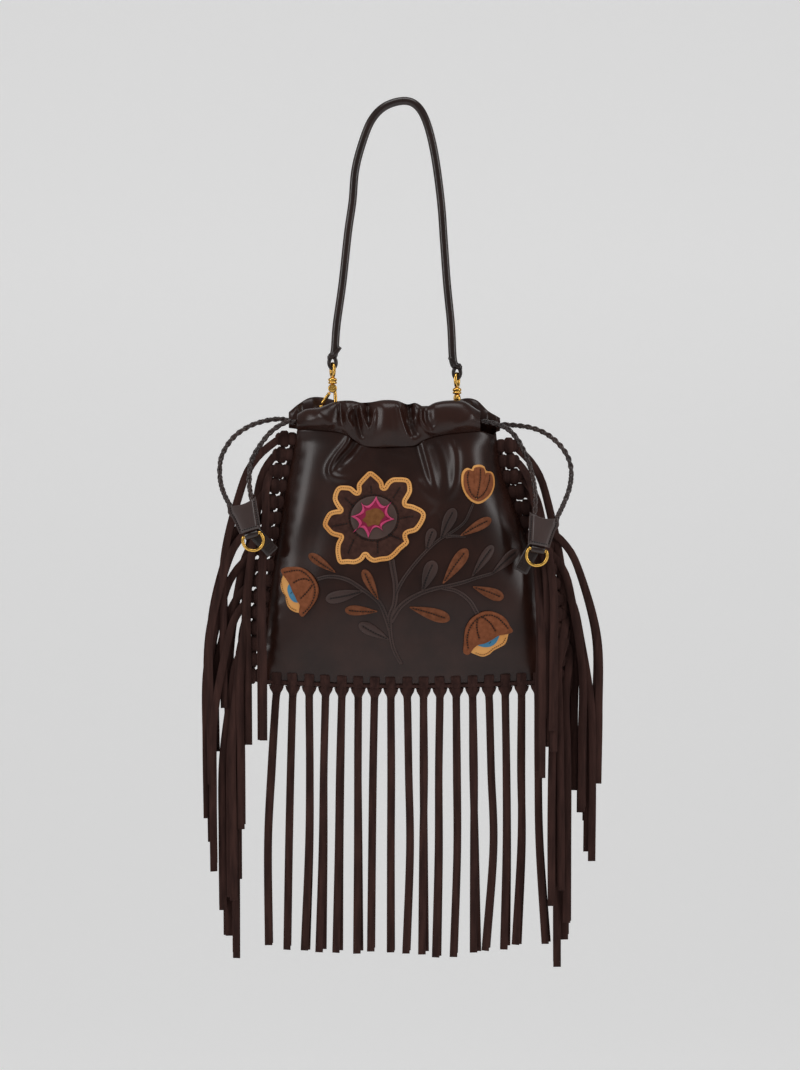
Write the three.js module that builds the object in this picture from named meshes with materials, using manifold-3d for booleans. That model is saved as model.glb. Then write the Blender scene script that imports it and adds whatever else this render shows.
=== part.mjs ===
// A small leather drawstring bag that hangs from its rolled strap. Two panels are tied together
// along both sides and the lower edge by knotted fringe, each carries a gathered drawcord casing,
// and a flower spray of thin leather is sewn to the front.
// Millimetres, +Z up, front towards -Y. The origin is the underside of the strap at its highest
// point, where the bag hangs. In every table a length is a share of the named size beside it.

import * as THREE from "three";
import { mergeVertices } from "three/addons/utils/BufferGeometryUtils.js";
import Module from "manifold-3d";

const wasm = await Module();
wasm.setup();

// Clearance between pieces that touch on the real bag
const touchGap = 0.3;

// Pouch
const strapDrop = 267; // hanging point down to the casings' top edge
const casingTall = 32; // casing, top edge to seam
const panelTall = 222; // panel, seam to lower edge
const lowSag = 4; // how far the lower edge bows down in the middle
const topWide = 179; // across the panels at the seam
const lowWide = 258; // across the panels at the lower edge
const mouthDeep = 52; // front to back at the mouth
const bellyDeep = 72; // front to back at the fullest height
const endDeep = 16; // front to back where the casings end
const edgeDeep = 7; // front to back where fringe ties the panels together
const panelWall = 1.8;
const casingWall = 1.5;
const casingPuff = 10; // half the thickness of a full puff of the casing
const foldTall = 5; // depth of the folds below the casing

// Strap and its looped ends
const strapWide = 6; // front to back
const strapThick = 7.4; // side to side
const leftDrop = 231.3; // hanging point down to the top of the left clasp
const rightDrop = 240.3;
const leftOut = 64.3; // hanging point out to the left clasp
const rightOut = 47.7;
const loopReach = 11; // strap end above the top of its clasp
const loopTall = 13.5;
const loopWide = 9.6;
const loopBand = 2.6;
const loopDeep = 6;
const loopSlack = 1.1; // the loop hangs this far below the top of the clasp's eye
const tailTip = 11; // cut tail that sticks out of the knot

// Snap hooks
const eyeTall = 15;
const eyeDeep = 12;
const eyeWire = 2.6;
const collarWide = 8;
const collarTall = 5.4;
const hookWire = 2.8;
const bossWide = 6.6;
const bossThick = 4;
const gateWire = 2.4;
const rightTurn = -65; // degrees the right hook is turned on its swivel
const anchorRingWide = 15;
const anchorRingWire = 2.2;
const anchorTabWide = 9;
const anchorTabThick = 1.6;

// Drawcords, their leather ends and the rings on them
const cordWide = 4.7;
const runGap = 2; // between the hidden run and the free strand that goes on from it
const capTall = 28;
const capTopWide = 27;
const capLowWide = 19.5;
const capThick = 8;
const capSeam = 1.6; // how far the puffed middle stands in from the flat stitched edge
const ringWide = 21.4;
const ringWire = 2.6;
const ringLoopWide = 12.4;
const ringLoopBand = 1.6;
const capTabLong = 27;
const capTabWide = 13;
const capTabThick = 4.5;

// Fringe
const stripWide = 7.2;
const stripThick = 3; // two strips hanging together
const tailLong = 242; // knot to the ends of the strips
const knotPitch = 14.7; // between knots along the lower edge
const knotShift = 1.6; // of the row of knots to the right
const sidePitch = 13.8; // between knots along the sides
const knotWide = 13.6;
const sideKnotWide = 16;
const knotTall = 10.5;
const knotDeep = 10;
const hemWide = 9; // loop over the panels' lower edge
const hemTall = 8;
const hemThick = 1.4;
const laceDeep = 2.4; // lacing held between the panels' side edges
const laceSeat = 6;
const laceOut = 5;
const laceShow = 2.4; // lacing seen between a knot and the panels' edge
const sideSpread = 50; // how far the side fringe stands out

// Flower spray
const sprayWide = 212;
const sprayTall = 177;
const sprayUp = 24.2; // foot of the stem above the lower edge
const sprayOut = -3.6; // foot of the stem from the middle
const trimThick = 1.4;
const trimGap = 0.77; // under the trim, over the faceted panel
const trimBorder = 3.6; // light border round a flower
const stemWide = 4.4;
const rosetteReach = 46;
const discWide = 42;
const discTall = 38;
const starReach = 17;
const tulipWide = 30;
const tulipTall = 36;
const bellWide = 46;

const seamLevel = -(strapDrop + casingTall);
const lowLevel = seamLevel - panelTall;

const bodyLeather = new THREE.MeshStandardMaterial({ color: 0x382826, roughness: 0.38 });
const strapLeather = new THREE.MeshStandardMaterial({ color: 0x3a302e, roughness: 0.35 });
const cordLeather = new THREE.MeshStandardMaterial({ color: 0x33261f, roughness: 0.45 });
const fringeSuede = new THREE.MeshStandardMaterial({ color: 0x42302c, roughness: 0.9 });
const goldMetal = new THREE.MeshStandardMaterial({ color: 0xd7a550, roughness: 0.22, metalness: 1 });
const tanLeather = new THREE.MeshStandardMaterial({ color: 0xde9e54, roughness: 0.6 });
const petalLeather = new THREE.MeshStandardMaterial({ color: 0x50362e, roughness: 0.6 });
const leafLeather = new THREE.MeshStandardMaterial({ color: 0x874e2f, roughness: 0.6 });
const stemLeather = new THREE.MeshStandardMaterial({ color: 0x443432, roughness: 0.65 });
const blueLeather = new THREE.MeshStandardMaterial({ color: 0x407ca0, roughness: 0.6 });
const pinkLeather = new THREE.MeshStandardMaterial({ color: 0xc03868, roughness: 0.55 });

const bag = new THREE.Group();
const at = (x, y, z) => new THREE.Vector3(x, y, z);
const { lerp, clamp, smoothstep, degToRad } = THREE.MathUtils;

function add(name, geometry, material, parent = bag) {
  const mesh = new THREE.Mesh(geometry, material);
  mesh.name = name;
  parent.add(mesh);
  return mesh;
}

// Reads one column of a table, on a smooth curve through its rows
function read(rows, key, column, place) {
  const last = rows.length - 1;
  let i = 0;
  while (i < last - 1 && place > rows[i + 1][key]) i += 1;
  const slope = (j) => {
    const before = rows[Math.max(j - 1, 0)];
    const after = rows[Math.min(j + 1, last)];
    return (after[column] - before[column]) / (after[key] - before[key]);
  };
  const span = rows[i + 1][key] - rows[i][key];
  const t = clamp((place - rows[i][key]) / span, 0, 1);
  const start = rows[i][column] * (2 * t ** 3 - 3 * t ** 2 + 1);
  const end = rows[i + 1][column] * (3 * t ** 2 - 2 * t ** 3);
  const lead = slope(i) * span * (t ** 3 - 2 * t ** 2 + t);
  const trail = slope(i + 1) * span * (t ** 3 - t ** 2);
  return start + end + lead + trail;
}

// One closed body from points and triangles, turned outwards
function closedBody(points, faces) {
  let volume = 0;
  for (const [a, b, c] of faces) {
    volume += points[a].dot(points[b].clone().cross(points[c]));
  }
  const ordered = volume < 0 ? faces.map(([a, b, c]) => [a, c, b]) : faces;
  const geometry = new THREE.BufferGeometry();
  const numbers = points.flatMap((p) => [p.x, p.y, p.z]);
  geometry.setAttribute("position", new THREE.Float32BufferAttribute(numbers, 3));
  geometry.setIndex(ordered.flat());
  return geometry;
}

// Joins rings of equally many points; a run that isn't closed gets flat ends
function skin(rings, closed = false) {
  const size = rings[0].length;
  const faces = [];
  const bands = closed ? rings.length : rings.length - 1;
  for (let i = 0; i < bands; i += 1) {
    const here = i * size;
    const next = ((i + 1) % rings.length) * size;
    for (let j = 0; j < size; j += 1) {
      const k = (j + 1) % size;
      faces.push([here + j, here + k, next + k], [here + j, next + k, next + j]);
    }
  }
  if (!closed) {
    const last = (rings.length - 1) * size;
    for (let j = 1; j < size - 1; j += 1) {
      faces.push([0, j + 1, j], [last, last + j, last + j + 1]);
    }
  }
  return closedBody(rings.flat(), faces);
}

// A tube with a wall, open at both ends
function tunnel(outer, inner) {
  const size = outer[0].length;
  const under = outer.length * size;
  const last = (outer.length - 1) * size;
  const faces = [];
  for (let j = 0; j < size; j += 1) {
    const k = (j + 1) % size;
    for (let here = 0; here < last; here += size) {
      const next = here + size;
      faces.push([here + j, here + k, next + k], [here + j, next + k, next + j]);
      faces.push([under + here + j, under + next + k, under + here + k]);
      faces.push([under + here + j, under + next + j, under + next + k]);
    }
    faces.push([k, j, under + j], [k, under + j, under + k]);
    faces.push([last + j, last + k, under + last + k]);
    faces.push([last + j, under + last + k, under + last + j]);
  }
  return closedBody([...outer.flat(), ...inner.flat()], faces);
}

// A sheet with a thickness, from two grids of points of the same size
function sheet(outer, inner) {
  const rows = outer.length;
  const columns = outer[0].length;
  const under = rows * columns;
  const spot = (i, j) => i * columns + j;
  const faces = [];
  for (let i = 0; i < rows - 1; i += 1) {
    for (let j = 0; j < columns - 1; j += 1) {
      const [a, b, c, d] = [spot(i, j), spot(i, j + 1), spot(i + 1, j + 1), spot(i + 1, j)];
      faces.push([a, b, c], [a, c, d]);
      faces.push([under + a, under + c, under + b], [under + a, under + d, under + c]);
    }
  }
  const rim = [];
  for (let j = 0; j < columns - 1; j += 1) rim.push(spot(0, j));
  for (let i = 0; i < rows - 1; i += 1) rim.push(spot(i, columns - 1));
  for (let j = columns - 1; j > 0; j -= 1) rim.push(spot(rows - 1, j));
  for (let i = rows - 1; i > 0; i -= 1) rim.push(spot(i, 0));
  rim.forEach((p, n) => {
    const q = rim[(n + 1) % rim.length];
    faces.push([q, p, under + p], [q, under + p, under + q]);
  });
  return closedBody([...outer.flat(), ...inner.flat()], faces);
}

// A round wire along points that lie in one plane, whose normal is given
function wire(points, thick, sides, normal, closed = false, deep = thick) {
  const count = points.length;
  const rings = points.map((point, i) => {
    const before = closed ? points[(i + count - 1) % count] : points[Math.max(i - 1, 0)];
    const after = closed ? points[(i + 1) % count] : points[Math.min(i + 1, count - 1)];
    const across = after.clone().sub(before).normalize().cross(normal);
    return Array.from({ length: sides }, (_, k) => {
      const turn = (2 * Math.PI * (k + 0.5)) / sides;
      return point
        .clone()
        .addScaledVector(across, (Math.cos(turn) * thick) / 2)
        .addScaledVector(normal, (Math.sin(turn) * deep) / 2);
    });
  });
  return skin(rings, closed);
}

// An oval of points round a centre in the plane X-Z
function oval(wide, tall, count, centre = at(0, 0, 0)) {
  return Array.from({ length: count }, (_, k) => {
    const turn = (2 * Math.PI * k) / count;
    return at((Math.cos(turn) * wide) / 2, 0, (Math.sin(turn) * tall) / 2).add(centre);
  });
}

function block(low, high) {
  const size = high.clone().sub(low);
  const middle = low.clone().add(high).multiplyScalar(0.5);
  return new THREE.BoxGeometry(size.x, size.y, size.z).translate(middle.x, middle.y, middle.z);
}

// Joins overlapping geometries into one body
function fuse(geometries) {
  const solids = geometries.map((geometry) => {
    const bare = geometry.clone();
    bare.deleteAttribute("normal");
    bare.deleteAttribute("uv");
    const merged = mergeVertices(bare, 1e-4);
    return new wasm.Manifold(
      new wasm.Mesh({
        numProp: 3,
        vertProperties: merged.attributes.position.array,
        triVerts: Uint32Array.from(merged.index.array),
      }),
    );
  });
  const mesh = solids.reduce((whole, solid) => whole.add(solid)).getMesh();
  const geometry = new THREE.BufferGeometry();
  geometry.setAttribute("position", new THREE.BufferAttribute(mesh.vertProperties, 3));
  geometry.setIndex(new THREE.BufferAttribute(mesh.triVerts, 1));
  return geometry;
}

// The pouch at heights below the seam. down is a share of panelTall, spread a share of the way
// from topWide to lowWide, lean a share of lowWide, and mouth and belly are shares of mouthDeep
// and bellyDeep. turn says how squarely the right side turns back.
const bodyRows = [
  { down: 0.0, spread: 0.0, lean: -0.025, mouth: 1.0, belly: 0.0, turn: 5.0 },
  { down: 0.13, spread: 0.12, lean: -0.028, mouth: 0.62, belly: 0.42, turn: 4.6 },
  { down: 0.27, spread: 0.35, lean: -0.018, mouth: 0.28, belly: 0.75, turn: 4.0 },
  { down: 0.5, spread: 0.7, lean: 0.004, mouth: 0.0, belly: 1.0, turn: 3.0 },
  { down: 0.66, spread: 0.87, lean: 0.01, mouth: 0.0, belly: 0.94, turn: 2.6 },
  { down: 0.82, spread: 0.96, lean: 0.011, mouth: 0.0, belly: 0.66, turn: 2.4 },
  { down: 0.92, spread: 0.99, lean: 0.008, mouth: 0.0, belly: 0.34, turn: 2.4 },
  { down: 1.0, spread: 1.0, lean: 0.005, mouth: 0.0, belly: 0.0, turn: 2.4 },
];
const downSteps = [0, 0.04, 0.09, 0.14, 0.2, 0.28, 0.37, 0.47, 0.58, 0.68, 0.78, 0.87, 0.94, 1];
const backDownSteps = [0, 0.04, 0.13, 0.27, 0.42, 0.57, 0.72, 0.85, 0.94, 1];
const leftTurn = 2.3;
const pinch = 0.78; // how sharply the panels close towards their tied edges

// The front casing and the top of the front panel. across is a share of half the width at the
// seam; seam and top are shares of casingTall above the mean seam and top edge; puff is a share
// of casingPuff. The casing ends where the front turns back.
const frontRows = [
  { across: -1.0, seam: 0.2, top: -0.36, puff: 0.62 },
  { across: -0.91, seam: 0.19, top: -0.24, puff: 0.92 },
  { across: -0.777, seam: 0.17, top: -0.2, puff: 1.0 },
  { across: -0.654, seam: 0.14, top: -0.08, puff: 0.95 },
  { across: -0.564, seam: 0.1, top: -0.03, puff: 0.56 },
  { across: -0.497, seam: 0.03, top: -0.02, puff: 0.78 },
  { across: -0.43, seam: -0.1, top: -0.04, puff: 0.54 },
  { across: -0.352, seam: -0.25, top: -0.09, puff: 0.8 },
  { across: -0.263, seam: -0.3, top: -0.08, puff: 0.56 },
  { across: -0.128, seam: -0.31, top: -0.02, puff: 1.0 },
  { across: 0.006, seam: -0.3, top: -0.04, puff: 0.85 },
  { across: 0.106, seam: -0.29, top: -0.14, puff: 0.55 },
  { across: 0.184, seam: -0.26, top: -0.1, puff: 0.68 },
  { across: 0.285, seam: -0.1, top: -0.2, puff: 0.56 },
  { across: 0.385, seam: 0.0, top: -0.08, puff: 0.85 },
  { across: 0.52, seam: 0.06, top: -0.02, puff: 1.0 },
  { across: 0.676, seam: 0.11, top: -0.05, puff: 0.98 },
  { across: 0.832, seam: 0.14, top: -0.3, puff: 0.72 },
  { across: 0.922, seam: 0.07, top: -0.3, puff: 0.6 },
  { across: 1.0, seam: 0.0, top: -0.3, puff: 0.6 },
];
const frontCasingEnd = 18; // rows of the front casing; the last two carry only the panel's corner

// The back casing runs past the panel on both sides, in an ear from which the cords come out
const backRows = [
  { across: -1.089, seam: 0.26, top: -0.3, puff: 0.5 },
  { across: -1.0, seam: 0.22, top: -0.1, puff: 0.6 },
  { across: -0.888, seam: 0.1, top: 0.09, puff: 0.9 },
  { across: -0.754, seam: 0.0, top: 0.11, puff: 0.95 },
  { across: -0.486, seam: -0.02, top: -0.06, puff: 0.6 },
  { across: -0.151, seam: -0.02, top: -0.1, puff: 0.9 },
  { across: 0.184, seam: -0.02, top: -0.12, puff: 0.6 },
  { across: 0.464, seam: 0.0, top: -0.08, puff: 0.9 },
  { across: 0.687, seam: 0.02, top: 0.09, puff: 0.85 },
  { across: 0.81, seam: 0.04, top: 0.03, puff: 0.9 },
  { across: 0.922, seam: 0.08, top: -0.26, puff: 0.7 },
  { across: 1.0, seam: 0.14, top: -0.4, puff: 0.68 },
  { across: 1.04, seam: 0.18, top: -0.46, puff: 0.62 },
];

// A casing's section. out is a share of its half thickness, up a share of its height.
const casingRing = [
  { out: 0.24, up: 0.0 },
  { out: 0.92, up: 0.26 },
  { out: 1.0, up: 0.62 },
  { out: 0.55, up: 0.95 },
  { out: -0.45, up: 1.0 },
  { out: -0.92, up: 0.52 },
  { out: -0.24, up: 0.0 },
];

// Grooves below the front casing, each between two raised folds. from and to are shares of half
// the width, long is a share of panelTall, wide of half the width and tall of foldTall.
const foldRows = [
  { from: -0.42, to: -0.56, long: 0.15, wide: 0.072, tall: 1.0 },
  { from: 0.2, to: 0.42, long: 0.31, wide: 0.07, tall: 1.0 },
  { from: 0.47, to: 0.54, long: 0.24, wide: 0.05, tall: 0.55 },
];

const halfWide = (down) => lerp(topWide, lowWide, read(bodyRows, "down", "spread", down)) / 2;
const centreX = (down) => lowWide * read(bodyRows, "down", "lean", down);

function foldLift(across, down) {
  let lift = 0;
  for (const { from, to, long, wide, tall } of foldRows) {
    const off = (across - lerp(from, to, clamp(down / long, 0, 1))) / wide;
    const raised = 0.6 * (Math.exp(-((off - 1.8) ** 2)) + Math.exp(-((off + 1.8) ** 2)));
    const fade = 1 - smoothstep(down, 0.6 * long, 1.15 * long);
    lift += foldTall * tall * fade * (raised - Math.exp(-(off ** 2)));
  }
  return lift;
}

// A point on the outer face of the front (side -1) or back (side 1) panel
function panelPoint(side, across, down) {
  const rows = side < 0 ? frontRows : backRows;
  const within = clamp(across, -1, 1);
  const closing = 1 - smoothstep(down, 0, downSteps[1]);
  const edge = lerp(edgeDeep, endDeep, closing) / 2;
  const mouth = read(bodyRows, "down", "mouth", down) * (mouthDeep / 2 - edge);
  const belly = read(bodyRows, "down", "belly", down) * (bellyDeep / 2 - edge);
  const power = within < 0 ? leftTurn : read(bodyRows, "down", "turn", down);
  const full = (1 - Math.abs(within) ** power) ** pinch;
  const fold = side < 0 ? foldLift(within, down) : 0;
  const top = seamLevel + casingTall * read(rows, "across", "seam", across);
  const low = lowLevel - lowSag * (1 - within ** 2);
  const depth = edge + (mouth + belly) * full + fold;
  return at(centreX(down) + halfWide(down) * across, side * depth, lerp(top, low, down));
}

function panelNormal(side, across, down) {
  const step = 0.004;
  const spot = clamp(across, -0.985, 0.985);
  const level = clamp(down, step, 1 - step);
  const wide = panelPoint(side, spot + step, level).sub(panelPoint(side, spot - step, level));
  const tall = panelPoint(side, spot, level + step).sub(panelPoint(side, spot, level - step));
  const normal = wide.cross(tall).normalize();
  return normal.y * side < 0 ? normal.negate() : normal;
}

function panel(side, acrossSteps, levels) {
  const outer = levels.map((down) => acrossSteps.map((across) => panelPoint(side, across, down)));
  const inner = levels.map((down, i) =>
    acrossSteps.map((across, j) => {
      const normal = panelNormal(side, across, down);
      if (down === 0) normal.set(0, side, 0);
      if (down === 1) normal.setZ(0).normalize();
      return outer[i][j].clone().addScaledVector(normal, -panelWall);
    }),
  );
  return sheet(outer, inner);
}

// The middle of a casing's section over one row of its table, with its half sizes
function casingSection(side, row) {
  const foot = panelPoint(side, row.across, 0);
  const low = foot.z + touchGap;
  const top = -strapDrop + casingTall * row.top;
  const middle = at(foot.x, foot.y - (side * panelWall) / 2, (low + top) / 2);
  return { middle, puff: casingPuff * row.puff, tall: top - low };
}

function casing(side, rows) {
  const ring = (row, wall) => {
    const { middle, puff, tall } = casingSection(side, row);
    return casingRing.map(({ out, up }) => {
      const y = middle.y + side * out * (puff - wall);
      return at(middle.x, y, middle.z + (up - 0.5) * (tall - 2 * wall));
    });
  };
  return tunnel(
    rows.map((row) => ring(row, 0)),
    rows.map((row) => ring(row, casingWall)),
  );
}

const frontCasingRows = frontRows.slice(0, frontCasingEnd);
const backPanelSteps = backRows.map((row) => row.across).filter((a) => Math.abs(a) <= 1);
add("front_panel", panel(-1, frontRows.map((row) => row.across), downSteps), bodyLeather);
add("back_panel", panel(1, backPanelSteps, backDownSteps), bodyLeather);
add("front_casing", casing(-1, frontCasingRows), bodyLeather);
add("back_casing", casing(1, backRows), bodyLeather);

// The strap's two legs. down is a share of the drop to the strap's foot, out of its reach.
const leftLeg = [
  { down: 0.022, out: 0.266 },
  { down: 0.081, out: 0.462 },
  { down: 0.185, out: 0.602 },
  { down: 0.285, out: 0.686 },
  { down: 0.405, out: 0.722 },
  { down: 0.53, out: 0.784 },
  { down: 0.734, out: 0.862 },
  { down: 0.898, out: 0.942 },
  { down: 1.0, out: 0.97 },
];
const rightLeg = [
  { down: 0.02, out: 0.25 },
  { down: 0.085, out: 0.43 },
  { down: 0.2086, out: 0.579 },
  { down: 0.39, out: 0.698 },
  { down: 0.547, out: 0.755 },
  { down: 0.705, out: 0.811 },
  { down: 0.864, out: 0.887 },
  { down: 1.0, out: 0.925 },
];
const strapSteps = 26;
const strapSides = 8;

function legPoints(rows, out, drop) {
  const foot = drop - loopReach + strapThick / 2;
  return rows.map((row) => at(out * row.out, 0, strapThick / 2 - foot * row.down));
}

const leftLegPoints = legPoints(leftLeg, -leftOut, leftDrop);
const rightLegPoints = legPoints(rightLeg, rightOut, rightDrop);
const strapTop = at(0, 0, strapThick / 2);
const strapCurve = new THREE.CatmullRomCurve3(
  [...leftLegPoints.toReversed(), strapTop, ...rightLegPoints],
  false,
  "centripetal",
);
const strapLine = strapCurve.getPoints(strapSteps);
add("strap", wire(strapLine, strapThick, strapSides, at(0, 1, 0), false, strapWide), strapLeather);

// One strap end: a band looped through the clasp's eye, tied above it, with a short cut tail
function strapEnd(tailSide) {
  const middle = -eyeWire - loopSlack - loopBand / 2 + (loopTall - loopBand) / 2;
  const band = wire(
    oval(loopWide - loopBand, loopTall - loopBand, 12, at(0, 0, middle)),
    loopBand,
    4,
    at(0, 1, 0),
    true,
    loopDeep,
  );
  const knotZ = middle + loopTall / 2 - loopBand / 4;
  const knot = new THREE.IcosahedronGeometry(1, 1).scale(loopWide * 0.4, loopDeep * 0.55, 2.6);
  knot.translate(0, 0, knotZ);
  const tail = new THREE.BoxGeometry(3.2, 2.2, tailTip).translate(0, 0, tailTip / 2);
  tail.rotateY(degToRad(32) * tailSide).translate(0, -strapWide / 2 - 1.6, knotZ - 1);
  const bridge = block(at(-1.4, -strapWide / 2 - 2.4, knotZ - 2), at(1.4, 0, knotZ + 1));
  return fuse([band, knot, tail, bridge]);
}

// Places in a hook's own frame: X towards the back of the hook, Z up, 0 at the top of the eye
const collarZ = -eyeTall + 0.6;
const bossZ = collarZ - collarTall - bossWide / 2 - 0.6;
const hookLine = [
  at(1.2, 0, bossZ + 1),
  at(2.4, 0, bossZ - 6),
  at(2.4, 0, bossZ - 15),
  at(0.6, 0, bossZ - 19.6),
  at(-3.4, 0, bossZ - 21.8),
  at(-7.6, 0, bossZ - 20.8),
  at(-10.2, 0, bossZ - 17.6),
  at(-10.4, 0, bossZ - 15.4),
];
const gateStart = bossWide / 2 + touchGap;
const gateReach = Math.hypot(hookLine.at(-1).x, hookLine.at(-1).z - bossZ) - touchGap - 1;
const gateTurn = Math.atan2(hookLine.at(-1).x, hookLine.at(-1).z - bossZ);
const ringHoldX = -3.4;
const ringTop = bossZ - 21.8 + hookWire / 2 + touchGap + anchorRingWire;
const ringMiddle = ringTop - anchorRingWide / 2;
const ringLowWire = ringTop - anchorRingWide + anchorRingWire / 2;

function claspEye() {
  const ring = wire(
    oval(eyeDeep - eyeWire, eyeTall - eyeWire, 12, at(0, 0, -eyeTall / 2)),
    eyeWire,
    6,
    at(0, 1, 0),
    true,
  ).rotateZ(Math.PI / 2);
  const collar = new THREE.CylinderGeometry(collarWide / 2, collarWide / 2, collarTall, 10);
  collar.rotateX(Math.PI / 2).translate(0, 0, collarZ - collarTall / 2);
  return fuse([ring, collar]);
}

function claspHook() {
  const neck = new THREE.CylinderGeometry(1.9, 2.5, 3, 8).rotateX(Math.PI / 2);
  neck.translate(0, 0, collarZ - collarTall - touchGap - 1.5);
  const boss = new THREE.CylinderGeometry(bossWide / 2, bossWide / 2, bossThick, 12);
  boss.translate(0, 0, bossZ);
  return fuse([neck, boss, wire(hookLine, hookWire, 6, at(0, 1, 0))]);
}

function claspGate() {
  const from = at(0, 0, gateStart);
  const to = at(0, 0, gateReach);
  const middle = from.clone().lerp(to, 0.5);
  return wire([from, middle, to], gateWire, 6, at(0, 1, 0)).rotateY(gateTurn);
}

// A ring round the foot of the hook, in the plane square to the hook's wire there
function anchorRing() {
  const size = anchorRingWide - anchorRingWire;
  const ring = wire(oval(size, size, 12), anchorRingWire, 6, at(0, 1, 0), true);
  return ring.rotateZ(Math.PI / 2).translate(ringHoldX, 0, ringMiddle);
}

// A leather band round the foot of the ring, sewn to the inside of the back casing
function anchorTab(reachBack, turn) {
  const hole = anchorRingWire + 2 * touchGap;
  const loop = wire(
    oval(anchorTabWide - anchorTabThick, hole + anchorTabThick * 1.6, 8, at(0, 0, ringLowWire)),
    anchorTabThick,
    4,
    at(0, 1, 0),
    true,
    5,
  ).rotateZ(degToRad(turn));
  const hold = at(ringHoldX, 0, 0).applyAxisAngle(at(0, 0, 1), degToRad(turn));
  loop.translate(hold.x, 0, 0);
  const low = ringLowWire - hole / 2 - anchorTabThick * 1.6;
  const strip = block(
    at(hold.x - anchorTabWide / 2, hold.y - 2, low),
    at(hold.x + anchorTabWide / 2, reachBack, low + anchorTabThick),
  );
  loop.translate(0, hold.y, 0);
  return fuse([loop, strip]);
}

// How far back the inside of the back casing is at a place across the mouth
function backWallAt(x, z) {
  const across = (x - centreX(0)) / halfWide(0);
  const row = {
    across,
    top: read(backRows, "across", "top", across),
    puff: read(backRows, "across", "puff", across),
  };
  const { middle, puff, tall } = casingSection(1, row);
  const up = clamp((z - middle.z) / tall + 0.5, 0, 1);
  const ring = [...casingRing.slice(4)].toReversed();
  return middle.y + puff * read(ring, "up", "out", up);
}

function clasp(side, x, z, turn, tailSide) {
  const whole = new THREE.Group();
  whole.position.set(x, 0, z);
  bag.add(whole);
  const swivel = new THREE.Group();
  swivel.rotation.z = degToRad(turn);
  whole.add(swivel);
  add(`strap_end_${side}`, strapEnd(tailSide), strapLeather, whole);
  add(`clasp_eye_${side}`, claspEye(), goldMetal, whole);
  add(`clasp_hook_${side}`, claspHook(), goldMetal, swivel);
  const gate = add(`clasp_gate_${side}`, claspGate(), goldMetal, swivel);
  gate.position.z = bossZ;
  add(`anchor_ring_${side}`, anchorRing(), goldMetal, swivel);
  const tabZ = ringLowWire - anchorTabThick;
  const wall = backWallAt(x + ringHoldX, z + tabZ) - 2 * touchGap;
  add(`anchor_tab_${side}`, anchorTab(wall, turn), bodyLeather, whole);
}

clasp("left", -leftOut, -leftDrop, 0, 1);
clasp("right", rightOut, -rightDrop, rightTurn, -1);

// Drawcords. The hidden runs follow the casings; the free strands follow points chosen by hand.
const cordSides = 8;
const cordPoints = {
  left_front: [
    [-96.6, -7.6, -281.0],
    [-104, -9, -281.4],
    [-112.8, -11, -286.2],
    [-120.8, -13, -293.2],
    [-126.4, -15, -300.8],
    [-132.4, -18, -310.4],
    [-136.0, -20.5, -318.4],
    [-137.8, -23, -330.2],
    [-138.0, -25, -341.0],
    [-137.0, -26, -349.0],
    [-136.3, -26, -353.6],
  ],
  left_back: [
    [-105.4, 6.6, -277.0],
    [-112, 5, -276.6],
    [-121, 2, -278.0],
    [-131, -2, -281.2],
    [-140, -6, -285.6],
    [-150, -11, -293.0],
    [-157.6, -15, -302.4],
    [-163.4, -19, -314.6],
    [-164.8, -22, -327.0],
    [-163.6, -24.5, -340.0],
    [-160.0, -26, -351.0],
    [-156.4, -26, -358.6],
  ],
  right_front: [
    [69.2, -19.6, -285.8],
    [76, -20.5, -286.6],
    [84, -21, -288.6],
    [93.8, -22.5, -293.4],
    [101.4, -25, -302.0],
    [107.0, -28, -312.6],
    [111.4, -31, -323.4],
    [114.6, -34, -336.0],
    [116.4, -36, -348.0],
    [116.6, -37, -358.0],
    [116.0, -37, -367.0],
  ],
  right_back: [
    [88.2, 6.4, -284.6],
    [95, 5, -285.2],
    [104, 1, -286.4],
    [114, -4, -288.4],
    [124, -9.5, -292.4],
    [133.6, -15, -299.0],
    [142, -21, -308.4],
    [147.6, -26, -319.4],
    [149.2, -31, -332.4],
    [146.8, -34.5, -346.4],
    [141.6, -37, -360.0],
    [136.6, -37, -370.4],
  ],
};

function cord(points, steps) {
  const section = new THREE.Shape();
  for (let k = 0; k < cordSides; k += 1) {
    const turn = (2 * Math.PI * k) / cordSides;
    const [x, y] = [(Math.cos(turn) * cordWide) / 2, (Math.sin(turn) * cordWide) / 2];
    if (k === 0) section.moveTo(x, y);
    else section.lineTo(x, y);
  }
  const path = new THREE.CatmullRomCurve3(points, false, "centripetal");
  return new THREE.ExtrudeGeometry(section, { steps, bevelEnabled: false, extrudePath: path });
}

// A run through a casing, along the middle of it, and the free strands that go on from its ends
function drawcord(name, side, rows) {
  const middles = rows.map((row) => casingSection(side, row).middle);
  const apart = at(runGap / 2, 0, 0);
  const [start, end] = [middles[0], middles.at(-1)];
  const run = [start.clone().add(apart), ...middles.slice(1, -1), end.clone().sub(apart)];
  add(`cord_${name}_run`, cord(run, middles.length + 6), cordLeather);
  const strand = (end, points, from) => {
    const shift = from.clone().sub(at(...points[0]));
    const line = points.map((point, i) =>
      at(...point).addScaledVector(shift, 1 - i / (points.length - 1)),
    );
    add(`cord_${end}_${name}`, cord(line, points.length - 2), cordLeather);
  };
  strand("left", cordPoints[`left_${name}`], start.clone().sub(apart));
  strand("right", cordPoints[`right_${name}`], end.clone().add(apart));
}

drawcord("front", -1, frontCasingRows);
drawcord("back", 1, backRows);

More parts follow.
